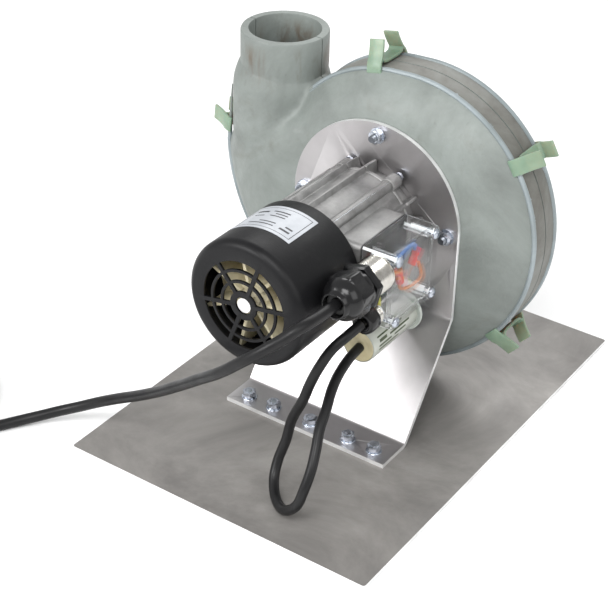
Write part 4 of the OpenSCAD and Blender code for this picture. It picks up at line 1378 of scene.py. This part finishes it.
def make_capacitor():
    bm = bmesh.new()
    low, high = CAP_Y
    profile = [(9.33, low + 0.1), (9.5, low - 0.15), (9.85, low), (CAP_R, low + 0.5), (CAP_R, high - 0.6),
               (9.7, high - 0.05), (9.33, high - 0.05)]
    add_lathe(bm, profile, along_y(CAP_AT), 64)
    for from_deg, to_deg, y0, y1 in (
        (-10, -4, low + 5, low + 24), (2, 8, low + 5, low + 17), (2, 8, low + 20, low + 31),
        (15, 25, low + 6, low + 13), (15, 21, low + 16, low + 35), (32, 37, low + 5, low + 29),
    ):
        add_patch(bm, (CAP_R - 0.05, CAP_R + 0.04), (from_deg, to_deg), (y0, y1), 1, 4, CAP_AT)
    piece(object_from(bm, "printed_sleeve"), "pale_plastic", "film", "print", replaces=["capacitor_sleeve"])
    profile = [
        (0, low + 0.9), (9.2, low + 0.9), (9.2, low - 0.1), (8.6, low - 0.35), (7.2, low - 0.15),
        (5, low - 0.1), (4.6, low - 0.35), (0, low - 0.3),
    ]
    lathe_piece("potting", "capacitor_resin", "resin_cream", "resin", CAP_AT, profile, 48, closed=False)
    profile = [
        (3.07, high + 0.02), (11.6, high + 0.02), (12, high + 0.4), (12, high + 1.6), (11.6, high + 1.98),
        (3.07, high + 1.98),
    ]
    lathe_piece("nylon_disc", "capacitor_disc", "pale_plastic", "pale", CAP_AT, profile)
    bm = bmesh.new()
    place = along_y(CAP_AT, UPRIGHT_Y - 2.7) @ Matrix.Rotation(math.pi, 4, "X")
    add_hex_head(bm, place, 0, 4.7, 10, 0.7, 8)
    nut = object_from(bm, "stud_nut_m6")
    combine(nut, [solid_drum(3.03, along_y(CAP_AT), 0, 20, 32)])
    piece(nut, "zinc", "zinc", replaces=["capacitor_nut"])
    bm = bmesh.new()
    add_thread(bm, along_y(CAP_AT), high - 0.9, 15.0, 3, 1.0, 0.35)
    piece(object_from(bm, "stud_m6"), "zinc", "zinc", replaces=["capacitor_stud"])


make_box()
make_cover_screws()
make_wiring()
make_glands()
make_capacitor()

# ---------- impeller and inlet ----------


def make_wheel():
    bm = bmesh.new()
    for k in range(32):
        place = along_y() @ Matrix.Rotation(2 * math.pi * k / 32, 4, "Z")
        path = [(46.2, 0.0), (48, 2.1), (50.2, 3.8), (52.6, 5.1), (55, 6.0), (56.6, 6.4)]
        add_prism(bm, strip_outline(path, 0.7), place, 23.5, 59.5)
    blades = object_from(bm, "curved_blades")
    piece(blades, "impeller_metal", "wheel", body="rotor", replaces=["impeller_blades"])
    shaft = (0, AXIS.z)
    profile = [(45, 59.5), (57.6, 59.5), (58, 59.9), (58, 60.7), (57.6, 61), (45.6, 61), (45, 60.6)]
    lathe_piece("wheel_ring", "impeller_shroud", "impeller_metal", "wheel", shaft, profile, 96, body="rotor")
    profile = [
        (40, BACK_Y - 7.4), (42, BACK_Y - 7.4), (42, BACK_Y + 0.02), (47.6, BACK_Y + 0.02),
        (48, BACK_Y + 0.4), (48, BACK_Y + 1.2), (47.6, BACK_Y + 1.5), (43, BACK_Y + 1.6),
        (42.1, BACK_Y + 2.6), (42, BACK_Y + 8.6), (41.6, BACK_Y + 9), (40.5, BACK_Y + 9), (40, BACK_Y + 8.6),
    ]
    lathe_piece("inlet_ring", "inlet_collar", "brushed_alu", "wheel", shaft, profile, 96)


KEPT = {
    "casing_seal": "rubber", "tie_rods": "zinc", "flange_screws": "zinc", "stator_core": "lamination",
    "front_winding": "copper", "rear_winding": "copper", "rotor_core": "lamination", "rotor_shaft": "steel",
    "front_bearing": "steel", "rear_bearing": "steel", "shaft_seal": "rubber", "capacitor_can": "can",
    "impeller_back_plate": "wheel", "impeller_hub": "cast", "hub_screw": "dark_steel",
}
make_wheel()
for node_name, look_name in KEPT.items():
    dress(nodes[node_name], look_name)

# ---------- cords, dressed and attached ---

mains.data.materials.append(LOOKS["cable"].material)
loop.data.materials.append(LOOKS["cable"].material)
for cord, slot_name in ((mains, "cord_rubber"), (loop, "cord_rubber")):
    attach(cord, "blower")
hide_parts("mains_cord", "mains_coil")


CORES = (("core_brown", "brown", 90), ("core_blue", "blue", 210), ("core_earth", "yellow", 330))


def make_cores():
    """Three stripped cores that leave the cable's bare end, which lies on the coil."""
    last, before = mains_line[-1], mains_line[-3]
    ahead = (last - before).normalized()
    side = ahead.cross(Vector((0, 0, 1))).normalized()
    cores = []
    for name, look, deg in CORES:
        angle = math.radians(deg)
        shift = (side * math.cos(angle) + Vector((0, 0, 1)) * math.sin(angle)) * 1.3
        bm = bmesh.new()
        points = [last - ahead * 2 + shift, last + ahead * 3 + shift, last + ahead * 6 + shift * 1.15,
                  last + ahead * 9 + shift * 1.2 - side * 0.5]
        add_tube(bm, points, 0.9, 12, 4)
        cores.append(piece(object_from(bm, name), "wire_blue", look))
    return cores


cores = make_cores()
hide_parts("loop_cord")

# ---------- floor, light and finish ----------


def add_floor():
    bm = bmesh.new()
    bmesh.ops.create_grid(bm, x_segments=1, y_segments=1, size=4000)
    floor = object_from(bm, "floor")
    look = Look("floor_white", (0.9, 0.9, 0.9), 0.6)
    look.set("Base Color", look.ramp(look.noise(3, 2), [(0.3, 0.89), (0.7, 0.92)]))
    floor.data.materials.append(look.material)


def add_area(name, at, toward, size, power):
    data = bpy.data.lights.new(name, "AREA")
    data.shape = "RECTANGLE"
    data.size, data.size_y = size
    data.energy = power
    light = bpy.data.objects.new(name, data)
    light.location = at
    light.rotation_euler = (Vector(toward) - Vector(at)).to_track_quat("-Z", "Y").to_euler()
    bpy.context.scene.collection.objects.link(light)


def add_light():
    world = bpy.data.worlds.new("studio")
    bpy.context.scene.world = world
    world.use_nodes = True
    world.node_tree.nodes["Background"].inputs["Color"].default_value = (1, 1, 1, 1)
    world.node_tree.nodes["Background"].inputs["Strength"].default_value = 0.68
    middle = (0, 0, 0.09)
    add_area("key", (0.3, -1.0, 1.3), middle, (0.8, 0.6), 15)
    add_area("fill", (1.2, -0.3, 0.9), middle, (0.9, 0.9), 6)
    add_area("rim", (-0.3, 1.1, 1.1), middle, (1.2, 0.5), 8)
    add_area("slope_glow", (-0.8, -1.3, 0.85), (0, 0, 0.04), (0.9, 0.55), 16)


add_floor()
add_light()
bpy.context.scene.view_settings.view_transform = "Standard"
